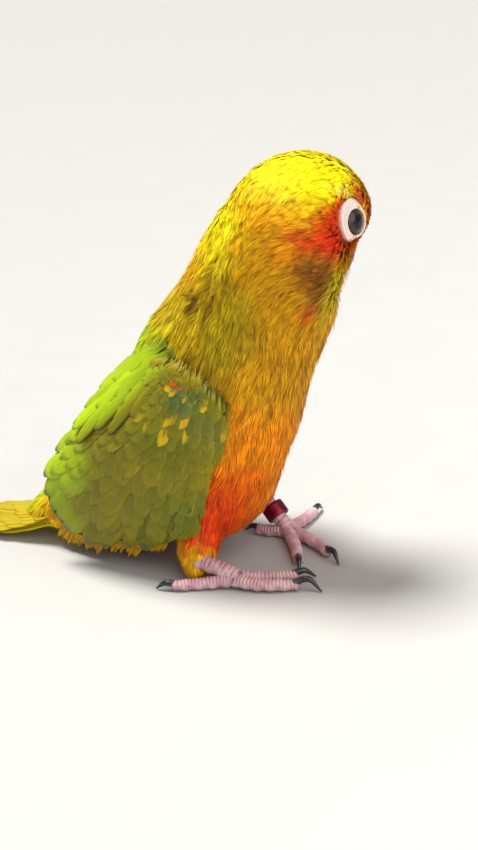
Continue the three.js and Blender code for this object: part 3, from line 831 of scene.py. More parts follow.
def body_feathers(roots, uvs):
    count = len(roots)
    length, width, _ = feather_size(roots)
    length = length * (1 + 0.14 * rng.standard_normal(count).clip(-2, 2))
    width = width * (1 + 0.12 * rng.standard_normal(count).clip(-2, 2))
    ruffled = np.zeros(count)
    for centre, reach in RUFFLES:
        ruffled = np.maximum(ruffled, smooth(1.4 - np.linalg.norm(roots - centre, axis=-1) / reach))
    paths, flow = feather_paths(roots, length, ruffled)
    bow = rng.normal(0, 0.06, count)

    def place(station, t, across, lift):
        centre, side, up = paths[station]
        shift = across * width / 2 + bow * length * t * t
        rise = lift - 0.1 * width * across * across
        return centre + side * shift[:, None] + up * rise[:, None]

    points = []
    spot = []
    for station, (t, half) in enumerate(zip(BLADE_STATIONS, BLADE_WIDTH)):
        for y in COLUMNS:
            points.append(place(station, t, np.full(count, y * half), 0.0))
            spot.append(np.stack([np.full(count, 0.5 + 0.5 * y), np.full(count, t)], axis=-1))
    strands = len(COLUMNS) - 1
    blades = len(BLADE_STATIONS)
    for j in range(strands):
        middle = (COLUMNS[j] + COLUMNS[j + 1]) / 2
        half = (COLUMNS[1] - COLUMNS[0]) / 2
        lean = rng.normal(0, 0.16, count)
        lift = (0.32 - 0.22 * on_crown(roots)) * rng.random(count) ** 2
        reach = (1 - 0.25 * middle**2) * (1 + rng.normal(0, 0.1, count))
        for sign in (-1, 1):
            across = middle * 0.94 + 0.5 * lean + sign * half * 0.78
            points.append(place(blades, STRAND_STATIONS[0], across, lift))
            spot.append(np.stack([0.5 + 0.5 * across, np.full(count, STRAND_STATIONS[0])], axis=-1))
        across = middle * 0.84 + lean
        before = place(blades, STRAND_STATIONS[0], middle * 0.94 + 0.5 * lean, lift)
        tip = place(blades + 1, 1.0, across, lift)
        points.append(before + (tip - before) * (reach * 1.1)[:, None])
        spot.append(np.stack([0.5 + 0.5 * across, np.full(count, 1.0)], axis=-1))
    points = np.stack(points, axis=1)
    spot = np.stack(spot, axis=1)

    quads = grid_faces(blades, len(COLUMNS))
    triangles = [np.concatenate([quads[:, [0, 1, 2]], quads[:, [0, 2, 3]]])]
    strand_of = np.full(points.shape[1], -1)
    for j in range(strands):
        a = (blades - 1) * len(COLUMNS) + j
        c = blades * len(COLUMNS) + 3 * j
        strand_of[c : c + 3] = j
        triangles.append(np.array([[a, a + 1, c + 1], [a, c + 1, c], [c, c + 1, c + 2]]))
    triangles = np.concatenate(triangles)
    each = points.shape[1]
    faces = (triangles[None] + np.arange(count)[:, None, None] * each).reshape(-1, 3)

    tint = feather_tint(roots, flow, ruffled, spot[..., 1], strand_of, strands)
    tint = tint * (1 - dark_lines(points, along_spine(roots)[0], ruffled))[..., None] ** LINE_TONE
    seed = np.repeat(rng.random(count)[:, None], each, 1)
    bake = uvs[:, None] + (spot - 0.5) * 0.003
    return points, faces, with_alpha(tint, seed), bake, spot


# Fine dark lines run with the lie, partly painted shade between the feathers and partly their own dark
# streaks: their reach across and along it, and their strength along the body
LINE_ACROSS = 0.5
LINE_ALONG = 6.0
NECK_LIE = unit(np.array([-0.5, 0.08, -0.9]))
LINE_STRENGTH = ([0, 0.3, 0.55, 0.68, 0.8, 0.9, 1], [0.1, 0.12, 0.25, 0.5, 0.58, 0.48, 0.36])
LINE_TONE = np.array([0.8, 1.0, 1.5])


def on_crown(points):
    return smooth((in_head(points)[..., 2] + 9) / 9)


def lined(points, direction, across, along, seed):
    run = points @ direction
    drawn = points / across + (run * (1 / along - 1 / across))[..., None] * direction
    return smooth((noise(drawn, 1.0, seed) - 0.12) / 0.34)


def dark_lines(points, share, ruffled):
    """How dark each point is from fine lines along the lie, partly painted shade between the feathers and
    partly their own dark streaks, with wider strokes of painted shade where the coat is ruffled.
    """
    on_top = smooth((share - 0.84) / 0.1)[:, None]
    fine = lined(points, HEAD_BACK, LINE_ACROSS, LINE_ALONG, 31) * on_top
    fine += lined(points, NECK_LIE, LINE_ACROSS, LINE_ALONG, 32) * (1 - on_top)
    ruffle_shade = lined(points, NECK_LIE, 1.5, 12.0, 33)
    strength = np.interp(share, *LINE_STRENGTH)[:, None] * (1 - 0.8 * on_crown(points))
    return np.maximum(fine * strength, ruffle_shade * 0.75 * ruffled[:, None])


def feather_tint(roots, flow, ruffled, t, strand_of, strands):
    """The feathers' colours, streaked strand by strand, with painted shade at the root and in ruffled parts
    and a painted highlight at the tip.
    """
    count = len(roots)
    colour = coat_colour(roots + flow * 3)
    share, _ = along_spine(roots)
    streaky = np.interp(share, [0, 0.55, 0.7, 0.88, 0.95], [0.05, 0.08, 0.18, 0.12, 0.04])
    # Ruffled parts get more dark strands, as painted shade in the gaps between them.
    streaky = np.maximum(streaky * (1 - on_crown(roots)), 0.4 * ruffled)[:, None]
    own = 1 + 0.1 * rng.standard_normal((count, 1)).clip(-2, 2)
    strand = own * (1 + 0.15 * rng.standard_normal((count, strands)).clip(-2, 2))
    dark = (rng.random((count, strands)) < streaky) * rng.uniform(0.35, 0.85, (count, strands))
    factor = np.broadcast_to(own, (count, len(strand_of))).copy()
    dusk = np.zeros((count, len(strand_of)))
    on_strand = strand_of >= 0
    factor[:, on_strand] = strand[:, strand_of[on_strand]]
    dusk[:, on_strand] = dark[:, strand_of[on_strand]]
    # Painted shade at each feather's root, where it lies under its neighbours; less on the crown.
    rooted = np.interp(share, [0.5, 0.7, 0.86, 0.95], [0.35, 0.5, 0.4, 0.25])[:, None]
    rooted = rooted * (1 - 0.8 * on_crown(roots))[:, None]
    dusk = np.maximum(dusk, rooted * smooth(1 - t / 0.5))[..., None]
    dark_tone = colour * np.array([0.44, 0.4, 0.3])
    tint = colour[:, None] * factor[..., None]
    tint = mixed(tint, dark_tone[:, None], dusk)
    # Painted highlight: each feather a little brighter towards its tip.
    return tint * (1 + 0.14 * smooth(t * 2 - 1))[..., None]


def add_coat(name, chosen, roots, uvs):
    points, faces, tint, bake, spot = body_feathers(roots[chosen], uvs[chosen])
    flat = [values.reshape(-1, values.shape[-1]) for values in (points, tint, bake, spot)]
    add_piece(name, "yellow_feathers", flat[0], faces, coat_material, *flat[1:])


roots, root_uvs = body_roots()
root_share, _ = along_spine(roots)
COAT_PIECES = [
    ("coat_tail_root", 0, 0.2),
    ("coat_belly", 0.2, 0.4),
    ("coat_breast", 0.4, 0.55),
    ("coat_shoulders", 0.55, 0.68),
    ("coat_neck", 0.68, 0.78),
    ("coat_nape", 0.78, 0.88),
    ("coat_head", 0.88, 1.01),
]
for piece_name, start, stop in COAT_PIECES:
    add_coat(piece_name, (root_share >= start) & (root_share < stop), roots, root_uvs)

# Wings. Places on a wing are a back along it, b down and forward, and h outward, as in the solids.

WING_WRAP_ABOVE = 28
WING_WRAP_BELOW = 85
# How wide a vane is at its root, as a share of its full width. Vanes shorter than SHORT are slim there.
WIDE_ROOT = 0.55
SLIM_ROOT = 0.2
SLIMMEST_ROOT = 0.15
SHORT = 10
# The wing's outline as angles round the fan's centre and the reach from it at each
TIP_ANGLES = (-8, -4, 0, 4, 9, 17, 25, 33, 44, 50)
TIP_REACHES = (68, 74, 85, 99, 110, 113, 105, 94, 83, 60)


def wing_point(sign, a, b, h):
    slope = math.radians(WING_SLOPE)
    back = np.array([-math.cos(slope), 0, -math.sin(slope)])
    down = np.array([math.sin(slope), 0, -math.cos(slope)])
    middle = -9 - 9 * np.exp(-np.maximum(a, -5) / 12)
    width = 29.8 + 0.11 * a - 0.0023 * a * a
    wrap = np.where(b < middle, WING_WRAP_ABOVE, WING_WRAP_BELOW)
    turn = (b - middle) / wrap
    lower = middle + np.sin(turn) * (wrap + h)
    wide = width - wrap + np.cos(turn) * (wrap + h)
    sideways = np.array([0.0, sign, 0.0])
    placed = np.array(WRIST, float) + a[..., None] * back + lower[..., None] * down
    return placed + wide[..., None] * sideways


def vanes(
    chart, start, angle, length, width, depth, lift, tilt, bend, thick, rows, columns, notch, root=WIDE_ROOT
):
    """Long feathers laid on a chart: closed thin blades with a raised shaft.

    Each measure is an array over the feathers, or one number for all of them.
    """
    count = len(start)
    t = np.linspace(0, 1, rows)[None, :, None]
    y = np.linspace(-1, 1, columns)[None, None, :]

    def col(values):
        return np.broadcast_to(np.asarray(values, float), (count,)).reshape(count, 1, 1)

    rising = root + (1 - root) * smooth(t / 0.45)
    falling = np.sqrt(np.clip(1 - (np.maximum(t - 0.62, 0) / 0.385) ** 2.4, 0, 1))
    half = col(width) / 2 * np.minimum(rising, falling)
    ragged = 1 - notch * (rng.random((count, rows, columns)) ** 8) * np.abs(y) ** 6
    across = y * half * ragged + col(bend) * t * t * col(length) * 0.1
    along = t * col(length) - 0.12 * np.abs(y) ** 2 * half * smooth(t / 0.4)
    angle = np.radians(col(angle))
    u = col(start[:, 0]) + np.cos(angle) * along - np.sin(angle) * across
    v = col(start[:, 1]) + np.sin(angle) * along + np.cos(angle) * across
    base = -col(depth) + (col(lift) + col(depth)) * smooth(t / 0.45)
    shaft = 0.12 * np.exp(-((y / 0.09) ** 2)) * (1 - t)
    body = base + col(tilt) * y - 0.35 * y * y * half / 6 + shaft
    edge = col(thick) / 2 * (1 - 0.7 * np.abs(y)) * (1 - 0.6 * t)
    top = chart(u, v, body + edge)
    bottom = chart(u, v, body - edge - 0.03)
    points = np.concatenate([top.reshape(count, -1, 3), bottom.reshape(count, -1, 3)], axis=1)
    over = grid_faces(rows, columns)
    under = over[:, ::-1] + rows * columns
    grid = np.arange(rows * columns).reshape(rows, columns)
    rim = np.concatenate([grid[0], grid[1:, -1], grid[-1, -2::-1], grid[-2:0:-1, 0]])
    following = np.roll(rim, -1)
    sides = np.stack([following, rim, rim + rows * columns, following + rows * columns], axis=-1)
    faces = np.concatenate([over, under, sides])
    faces = (faces[None] + np.arange(count)[:, None, None] * points.shape[1]).reshape(-1, 4)
    t, y = (np.tile(np.broadcast_to(values, (1, rows, columns)).reshape(-1), 2) for values in (t, y))
    return points, faces, t, y


# Wing colours
WING_GREEN = srgb(0x6E720E)
WING_OLIVE = srgb(0x887C12)
WING_LIME = srgb(0xA4C40C)
WING_TEAL = srgb(0x3F6A3E)
WING_BLUE = srgb(0x4C6468)
WING_FRINGE = srgb(0xB8A81C)
WING_GOLD = srgb(0xDCB40C)
WING_SHADE = srgb(0x1E2604)

# Patches on the wing: centre a and b, reach, colour, strength
WING_PATCHES = [
    ((-1, -16), (7, 5), WING_TEAL, 0.65),
    ((0, -5), (6, 7), WING_TEAL, 0.35),
    ((26, 18), (12, 4), WING_TEAL, 0.2),
    ((14, -2), (10, 8), WING_GREEN, 0.7),
    ((36, -34), (44, 8), WING_LIME, 0.95),
    ((66, -20), (16, 10), WING_LIME, 0.85),
    ((78, -6), (8, 10), WING_LIME, 0.45),
]

# Small bright spots: a, b and reach
GOLD_FLECKS = [
    (3.2, -20.8, 2.2), (0.5, -15, 1.7), (-3.2, -10.2, 1.7), (-2.8, -6.5, 1.6), (-7.2, -7, 1.5),
    (-7, -3.8, 1.4), (6, -10.2, 2.0), (9.5, -12, 1.5), (13, -14, 1.8), (18.8, -16.8, 1.8), (30.5, -5.8, 1.7),
    (-4, 1.2, 1.3), (8, -6, 1.2), (16, -9, 1.2), (-7, -12, 1.3), (-5.5, -0.5, 1.3),
]
ORANGE_SPOT = (-1.2, -21.2, 2.2)


def wing_colour(a, b):
    """The wing's marking colour at each place on its chart."""
    flat = np.stack([a, b, 0 * a], axis=-1)
    mix = (0.5 + 0.5 * noise(flat, 11, 7))[..., None]
    colour = mixed(WING_GREEN, WING_OLIVE, mix)
    for at, reach, tone, strength in WING_PATCHES:
        away = np.hypot((a - at[0]) / reach[0], (b - at[1]) / reach[1])
        weight = (strength * smooth(1.5 - away))[..., None]
        colour = mixed(colour, tone, weight)
    return colour


def tipped(tint, a, b, t, y):
    """Gives the vanes whose tips lie at a fleck a bright tip, ragged where it begins."""
    tip = np.argmin(np.abs(t - 0.85) + np.abs(y))
    bright = np.zeros(len(a))
    for x, z, reach in GOLD_FLECKS:
        bright = np.maximum(bright, smooth(1.6 - np.hypot(a[:, tip] - x, b[:, tip] - z) / reach))
    x, z, reach = ORANGE_SPOT
    red = smooth(1.7 - np.hypot(a[:, tip] - x, b[:, tip] - z) / reach)[:, None, None]
    ragged = 0.16 * noise(np.stack([a * 2.2, b * 2.2, 0 * a], axis=-1), 1.0, 8)
    stroke = smooth((1.0 - np.abs(y - rng.uniform(-0.6, 0.6, (len(a), 1)))) / 0.5)
    share = np.maximum(0.95 * bright[:, None] * stroke, red[..., 0])
    share = share * smooth((t + ragged + 0.12 * np.abs(y) - 0.6) / 0.2)
    tone = mixed(WING_GOLD, DEEP_ORANGE, red)
    return mixed(tint, tone, share[..., None])


# The wing's rows: tip's reach from the fan's centre (none is the wing's own edge), length, width, first and
# last angle, lift, depth and how pale the fringe is
WING_ROWS = [
    (None, 44, 10.5, -4, 40, -0.3, 2.4, 0.12),
    (100, 38, 8.6, -4, 39, 0.2, 1.6, 0.2),
    (91, 34, 8.0, -4, 40, 0.5, 1.4, 0.3),
    (83, 30, 7.4, -4, 41, 0.8, 1.4, 0.36),
    (75.5, 27, 7.0, -4, 42, 1.1, 1.4, 0.36),
    (68.5, 24, 6.6, -4, 43, 1.4, 1.4, 0.34),
    (62, 21, 6.2, -4, 44.5, 1.6, 1.4, 0.32),
    (56, 19, 5.8, -4, 46, 1.8, 1.5, 0.3),
    (50.5, 17, 5.4, -4, 48, 2.0, 1.6, 0.28),
    (45.5, 15, 5.0, -2, 50, 2.1, 1.7, 0.26),
    (41, 12.5, 4.7, 0, 51, 2.2, 1.8, 0.24),
    (37, 9.5, 4.4, 2, 50, 2.2, 1.8, 0.22),
    (33, 7.5, 3.8, 6, 48, 2.2, 1.2, 0.2),
    (30, 6, 3.4, 12, 44, 2.2, 0.9, 0.2),
]
LEADING_EDGE = [
    (2, -24, 0), (-3, -20, 0), (-7, -13, 0), (-7.4, -6, 0), (-5, 0, 0), (1, 5, 0), (10.5, 11, 0),
    (22.5, 18.5, 0), (31, 23.5, 0),
]
# Where the small shoulder feathers are rooted
SHOULDER_LINE = [(22, -35, 0), (12, -32, 0), (4, -28, 0), (-4, -22, 0), (-8, -14, 0)]
# Slim feathers off the shoulder along the wing's upper edge: start's a and b, angle, length, width, strength
# of the painted shade below it
SCAPULARS = [
    (8, -39, 2, 27, 6.5, 0.1),
    (-2, -37.5, 1, 27, 6.5, 0.1),
    (14, -36, 3, 28, 6, 0.2),
    (4, -34.5, 3, 32, 6, 0.2),
    (-4, -32.5, 3, 30, 5.5, 0.3),
    (20, -33, 6, 30, 5.5, 0.4),
    (14, -31, 10, 36, 5, 1.0),
    (5, -30, 9, 34, 5, 0.6),
    (-3, -28.5, 8, 32, 4.6, 0.5),
    (1, -27, 11, 33, 4.4, 1.0),
    (-2, -25.5, 9, 24, 4, 0.8),
]
SHOULDER_SPOT = (np.array([-15.0, 27.0, 74.0]), 3.2)
# Cells along each edge of the OFBake map, one for each vane
WING_CELLS = 20
FLANK_CELLS = 17
TAIL_CELLS = 10


class VaneSet:
    """Gathers tiers of vanes into one mesh, with a patch of the OFBake map for each vane."""

    def __init__(self, cells):
        self.cells = cells
        self.parts = []
        self.points = 0
        self.placed = 0

    def add(self, made, tint):
        points, faces, t, y = made
        count = len(points)
        seeds = np.repeat(rng.random(count)[:, None], points.shape[1], 1)
        slots = self.placed + np.arange(count)
        corner = np.stack([slots % self.cells, slots // self.cells], axis=-1) / self.cells
        inner = np.stack([0.05 + 0.42 * (y + 1) / 2, 0.05 + 0.9 * t], axis=-1)
        inner[len(t) // 2 :, 0] += 0.48
        bake = corner[:, None] + inner[None] / self.cells
        spot = np.tile(np.stack([0.5 + 0.5 * y, t], axis=-1), (count, 1, 1))
        self.parts.append((points, faces + self.points, with_alpha(tint, seeds), bake, spot))
        self.points += count * points.shape[1]
        self.placed += count

    def build(self, name, slot, replaces=()):
        faces = np.concatenate([part[1] for part in self.parts])
        points, tint, bake, spot = (
            np.concatenate([part[k].reshape(-1, part[k].shape[-1]) for part in self.parts])
            for k in (0, 2, 3, 4)
        )
        add_piece(name, slot, points, faces, wing_material, tint, bake, spot, replaces)


def vane_places(start, angle, length, width, t, y):
    """The chart places of every point of a tier's vanes, near enough for colouring."""
    along = t[None] * length[:, None]
    across = y[None] * width[:, None] / 2
    turn = np.radians(angle)[:, None]
    a = start[:, :1] + np.cos(turn) * along - np.sin(turn) * across
    b = start[:, 1:] + np.sin(turn) * along + np.cos(turn) * across
    return a, b


def scallop_tint(colour, t, y, fringe, dusk=0.5):
    """Colours a vane: painted shade at its root, where it lies under its neighbours, a darker line along its
    own shaft, and a paler ragged fringe.
    """
    count = len(colour)
    own = 1 + 0.09 * rng.standard_normal((count, 1, 1))
    edge = np.maximum(smooth((np.abs(y) - 0.5) / 0.5) * smooth(t / 0.5), smooth((t - 0.8) / 0.2))
    strength = (fringe * edge[None] * (0.5 + 0.8 * rng.random((count, 1))))[..., None].clip(0, 1)
    shaft = 0.18 * np.exp(-((y / 0.2) ** 2)) * (1 - t)
    # The root's darkening is painted shade; the line along the shaft is the vane's own colour.
    shade = (dusk * smooth(1 - t / 0.45) + shaft)[None, :, None].clip(0, 1)
    return mixed(colour * own, WING_FRINGE, strength) * (1 - shade)


def build_wing(side, sign):
    def chart(a, b, h):
        return wing_point(sign, a, b, h)

    vane_set = VaneSet(WING_CELLS)
    for tip, long, wide, first, last, lift, depth, fringe in WING_ROWS:
        middle = math.radians(last - first) * (tip or 100)
        count = max(int(round(middle / (wide * (0.34 if tip is None else 0.56)))), 6)
        angle = np.linspace(first, last, count) + rng.normal(0, 0.5, count)
        edge = np.interp(angle, TIP_ANGLES, TIP_REACHES)
        end = edge if tip is None else np.minimum(tip, edge - 2.5)
        end = end + rng.normal(0, 0.25 if tip is None else 0.8, count)
        turn = np.radians(angle)
        fanned = np.stack([np.cos(turn), np.sin(turn)], axis=-1)
        start = np.array(FAN_CENTRE) + (end - long)[:, None] * fanned
        pointing = angle + rng.normal(0, 2.0, count)
        length = np.full(count, float(long))
        width = wide * (1 + rng.normal(0, 0.06, count))
        rows, columns = (17, 11) if tip is None else (10, 9)
        made = vanes(
            chart, start, pointing, length, width, depth,
            lift + 0.1 * (np.arange(count) % 2) + rng.normal(0, 0.05, count), 0.17,
            rng.normal(0, 0.15, count), 0.16, rows, columns, 0.5, SLIM_ROOT if long < SHORT else WIDE_ROOT,
        )
        t, y = made[2:]
        a, b = vane_places(start, pointing, length, width, t, y)
        tint = scallop_tint(wing_colour(a, b), t, y, fringe * 0.8)
        tint = tipped(tint, a, b, t, y)
        if tip is None:
            quill = (0.75 * smooth((t - 0.94) / 0.04))[None, :, None]
            tint = mixed(tint, WING_BLUE, quill)
        vane_set.add(made, tint)
    add_leading_edge(vane_set, chart)
    add_scapulars(vane_set, chart)
    vane_set.build("feathers_wing_" + side, "green_feathers", ["wing_" + side])


def add_leading_edge(vane_set, chart):
    """Rows of tiny feathers that wrap the wing's front edge, with a thin yellow line along it."""
    line = curve(LEADING_EDGE, 60)[:, :2]
    heading = np.degrees(np.arctan2(np.gradient(line[:, 1]), np.gradient(line[:, 0])))
    for shift, lift, golden in ((4.0, 1.6, 0.0), (2.2, 1.3, 0.0), (0.8, 1.1, 0.9)):
        count = 44
        at = np.linspace(0, 59, count).astype(int)
        inward = np.radians(heading[at] - 90)
        start = line[at] + shift * np.stack([np.cos(inward), np.sin(inward)], axis=-1)
        start = start + rng.normal(0, 0.15, (count, 2))
        pointing = heading[at] - 10 + rng.normal(0, 4, count)
        length = 7.0 * (1 + rng.normal(0, 0.08, count))
        width = 3.0 * (1 + rng.normal(0, 0.08, count))
        made = vanes(
            chart, start, pointing, length, width, 0.7, lift + rng.normal(0, 0.06, count), -0.1,
            rng.normal(0, 0.2, count), 0.14, 9, 7, 0.5, SLIM_ROOT,
        )
        t, y = made[2:]
        a, b = vane_places(start, pointing, length, width, t, y)
        tint = scallop_tint(wing_colour(a, b), t, y, 0.12, 0.2)
        outer = golden * smooth((5 - b) / 5)[..., None] * smooth((y + 0.1) / 0.5)[None, :, None]
        vane_set.add(made, mixed(tint, WING_GOLD, outer))


def add_scapulars(vane_set, chart):
    """Slim feathers off the shoulder, with painted shade in the gaps below them, and small ones over their
    roots.
    """
    rows = np.array(SCAPULARS, float)
    count = len(rows)
    start = rows[:, :2] + rng.normal(0, 0.4, (count, 2))
    lift = np.linspace(2.8, 2.2, count)
    made = vanes(chart, start, *rows[:, 2:5].T, 1.6, lift, -0.25, 0.5, 0.16, 17, 11, 0.6)
    t, y = made[2:]
    a, b = vane_places(start, *rows[:, 2:5].T, t, y)
    # Painted shade in the gap along each scapular's lower edge.
    gap = 0.9 * (smooth((y - 0.5) / 0.2) * smooth((t - 0.12) / 0.2))[None] * rows[:, 5:]
    tint = scallop_tint(wing_colour(a, b), t, y, 0.08)
    vane_set.add(made, mixed(tint, WING_SHADE, gap[..., None]))
    line = curve(SHOULDER_LINE, 60)[:, :2]
    for row, inset in enumerate((-1.5, 0.0, 1.5, 3.0, 4.5)):
        count = 40
        at = np.linspace(0, 59, count).astype(int)
        start = line[at] + np.array([-0.6, -4.5]) + inset * 0.5 + rng.normal(0, 0.5, (count, 2))
        pointing = np.linspace(6, 50, count) + rng.normal(0, 9, count)
        length = 7.5 * (1 + rng.normal(0, 0.14, count))
        width = 2.7 * (1 + rng.normal(0, 0.12, count))
        made = vanes(
            chart, start, pointing, length, width, 0.9, 2.0 - 0.1 * row + rng.normal(0, 0.12, count), 0.05,
            rng.normal(0, 0.6, count), 0.1, 8, 5, 0.8, SLIMMEST_ROOT,
        )
        forward = smooth((16 - start[:, 0]) / 18)[:, None, None]
        colour = mixed(WING_LIME, OLIVE, forward) * np.ones(made[0].shape)
        spot = patch_share(made[0], SHOULDER_SPOT[0], (SHOULDER_SPOT[1],) * 3)[..., None]
        colour = mixed(colour, DEEP_ORANGE, spot)
        vane_set.add(made, scallop_tint(colour, made[2], made[3], 0.05, 0.1))


def wing_core(side, sign):
    """The underlayer that the wing's feathers lie on, tinted at half the wing's green as painted shade between
    them.
    """
    turn = full_turn(60)
    rings = [(r, 1) for r in (0.02, 0.3, 0.6, 0.85, 1.0)] + [(r, 0) for r in (1.0, 0.8, 0.5, 0.25, 0.02)]
    points = []
    uvs = []
    for r, top in rings:
        a = 42 + 40 * r * np.cos(turn)
        b = -6 + 24 * r * np.sin(turn)
        dome = math.sqrt(max(1 - r * r, 0))
        h = np.full(len(turn), -1.4 * (1 - dome) - 0.2 if top else -1.6 - 7 * dome)
        points.append(wing_point(sign, a, b, h))
        shift = 0.25 if top else 0.75
        uvs.append(np.stack([shift + 0.22 * r * np.cos(turn), 0.5 + 0.4 * r * np.sin(turn)], axis=-1))
    faces = grid_faces(len(rings), len(turn), closed=True)
    points = np.concatenate(points)
    tint = np.tile(WING_GREEN * 0.5, (len(points), 1))
    uv = np.concatenate(uvs)
    add_piece("wing_down_" + side, "green_feathers", points, faces, down_material, with_alpha(tint, 1), uv)


for side, sign in SIDES:
    wing_core(side, sign)
    build_wing(side, sign)

# The yellow fringe of feathers that hangs from each flank below the wing

FLANK_LINE = [(-26, 17, 15), (-44, 18.5, 13), (-60, 16.5, 12), (-76, 12, 12)]


def build_flank(side, sign):
    """Soft feathers hung from a line along the flank, drawn back and down to just over the floor."""
    line = curve(FLANK_LINE, 120)

    def chart(u, v, h):
        index = np.clip(u, 0, len(line) - 1)
        base = np.stack([np.interp(index, np.arange(len(line)), line[:, k]) for k in range(3)], axis=-1)
        lean = np.stack([-0.45 * v, 0.1 * v + h, -v], axis=-1)
        placed = base + lean
        placed[..., 2] = np.maximum(placed[..., 2], 0.6)
        return placed * np.array([1.0, sign, 1.0])

    vane_set = VaneSet(FLANK_CELLS)
    for row, reach in enumerate((9.5, 8.5, 7, 5.5)):
        count = 72
        along = np.linspace(4, 116, count) + rng.normal(0, 1.0, count)
        start = np.stack([along, np.full(count, -2.0)], axis=-1)
        made = vanes(
            chart, start, 86 + rng.normal(0, 6, count), reach * (1 + rng.normal(0, 0.1, count)),
            5.5 * (1 + rng.normal(0, 0.15, count)), 1.0, 0.3 + 0.35 * row + rng.normal(0, 0.2, count), 0.1,
            rng.normal(0, 0.5, count), 0.12, 12, 9, 0.25,
        )
        colour = GOLD * (1 - 0.35 * smooth(made[2] * 1.4 - 0.3))[:, None] * np.ones(made[0].shape)
        vane_set.add(made, scallop_tint(colour, made[2], made[3], 0.1))
    vane_set.build("feathers_flank_" + side, "yellow_feathers")


for side, sign in SIDES:
    build_flank(side, sign)

# Tail. Places on it are u back from its root, v to the left and h up.

TAIL_STOPS = [(-72, 0, 15), (-84, 0, 9.5), (-104, 0, 4.2), (-134, 0, 2.6), (-218, 0, 0.6), (-230, 0, 0.2)]
TAIL_LINE = curve(TAIL_STOPS, 200)
TAIL_OLIVE = srgb(0x8E8010)
TAIL_YELLOW = srgb(0xA8960C)
TAIL_GREEN = srgb(0x5D7A18)
TAIL_BLUE = srgb(0x2B5F7A)


def tail_point(u, v, h):
    x = TAIL_ROOT_X - u
    height = np.interp(-x, -TAIL_LINE[:, 0], TAIL_LINE[:, 2])
    lowest = 0.15 + 0.1 * np.maximum(h + 2.5, 0)
    return np.stack([x, v, np.maximum(height + h - 0.006 * v * v, lowest)], axis=-1)


def tail_tiers():
    """The tail's rows as kind, vanes, rows, columns and colour, from the quills to the covering feathers.

    A vane is its start's u and v, angle, length, width, depth, lift and tilt.
    """
    quills = []
    for pair in range(5, -1, -1):
        for side in (1, -1):
            length = TAIL_LENGTH * (1 - 0.085 * pair) + 6
            lift = 2.4 - 0.42 * pair - (0 if side > 0 else 0.2)
            place = (-6, side * (0.8 + 0.8 * pair), side * (0.6 + 0.75 * pair))
            quills.append((*place, length, 12.5 - 0.4 * pair, 0.3 + 0.2 * pair, lift, -0.3 * side))
    tiers = [("quill", quills, 44, 15, TAIL_OLIVE)]
    for row, reach in enumerate((52, 42, 33, 25, 18)):
        upper = []
        for i in range(11):
            away = abs(i - 5)
            place = (-9, (i - 5) * 1.7, (i - 5) * 1.3)
            lift = 3.7 - 0.38 * away + 0.32 * row
            upper.append((*place, reach - (3 - 0.4 * row) * away, 6.4, -0.2, lift, 0.1))
        tiers.append(("cover", upper, 14, 9, TAIL_YELLOW))
    for row, reach in enumerate((46, 36, 26)):
        under = []
        for i in range(9):
            away = abs(i - 4)
            place = (-9, (i - 4) * 1.9, (i - 4) * 1.2)
            under.append((*place, reach - 3 * away, 7.5, 2.3, -1.8 + 0.35 * away - 0.2 * row, 0.1))
        tiers.append(("under", under, 14, 9, CROWN))
    return tiers


def build_tail():
    vane_set = VaneSet(TAIL_CELLS)
    for kind, specs, rows, columns, tone in tail_tiers():
        numbers = np.array(specs, float)
        angle, length, width, depth, lift, tilt = numbers[:, 2:].T
        count = len(numbers)
        made = vanes(
            tail_point, numbers[:, :2], angle + rng.normal(0, 0.3, count),
            length * (1 + rng.normal(0, 0.01, count)), width, depth, lift + rng.normal(0, 0.05, count), tilt,
            rng.normal(0, 0.1, count), 0.4, rows, columns, 0.3,
        )
        t, y = made[2:]
        tint = np.tile(tone, (count, len(t), 1)) * (1 + 0.08 * rng.standard_normal((count, 1, 1)))
        if kind == "quill":
            green = (0.75 * smooth((t - 0.4) / 0.35))[None, :, None]
            tint = mixed(tint, TAIL_GREEN, green)
            blue = (0.9 * smooth((t - 0.74) / 0.22))[None, :, None]
            tint = mixed(tint, TAIL_BLUE, blue)
            below = (0.7 * (np.arange(len(t)) >= len(t) // 2))[None, :, None]
            tint = mixed(tint, OLIVE_GOLD, below)
        rim = (0.45 * smooth((np.abs(y) - 0.6) / 0.4))[None, :, None]
        tint = mixed(tint, WING_GOLD, rim)
        # Painted shade at each vane's root, under the feathers that lie over it.
        tint = tint * (1 - 0.35 * smooth(1 - t / 0.3))[None, :, None]
        vane_set.add(made, tint)
    vane_set.build("feathers_tail", "green_feathers", ["tail"])


build_tail()

# Eyes and the bare rings round them

EYE_BROWN = srgb(0x37302C)
PUPIL = srgb(0x0B0A0B)
RING_SKIN = srgb(0xF4E2D8)
RING_SHADE = srgb(0xA98C84)
RING_BLUSH = srgb(0xE88A6A)


def sideways_frame(axis):
    """Two directions across an axis: level and upright."""
    across = unit(np.cross(UPWARD, axis))
    return across, np.cross(axis, across)


EYE_BULGE = 0.84
PUPIL_RADIUS = 2.5


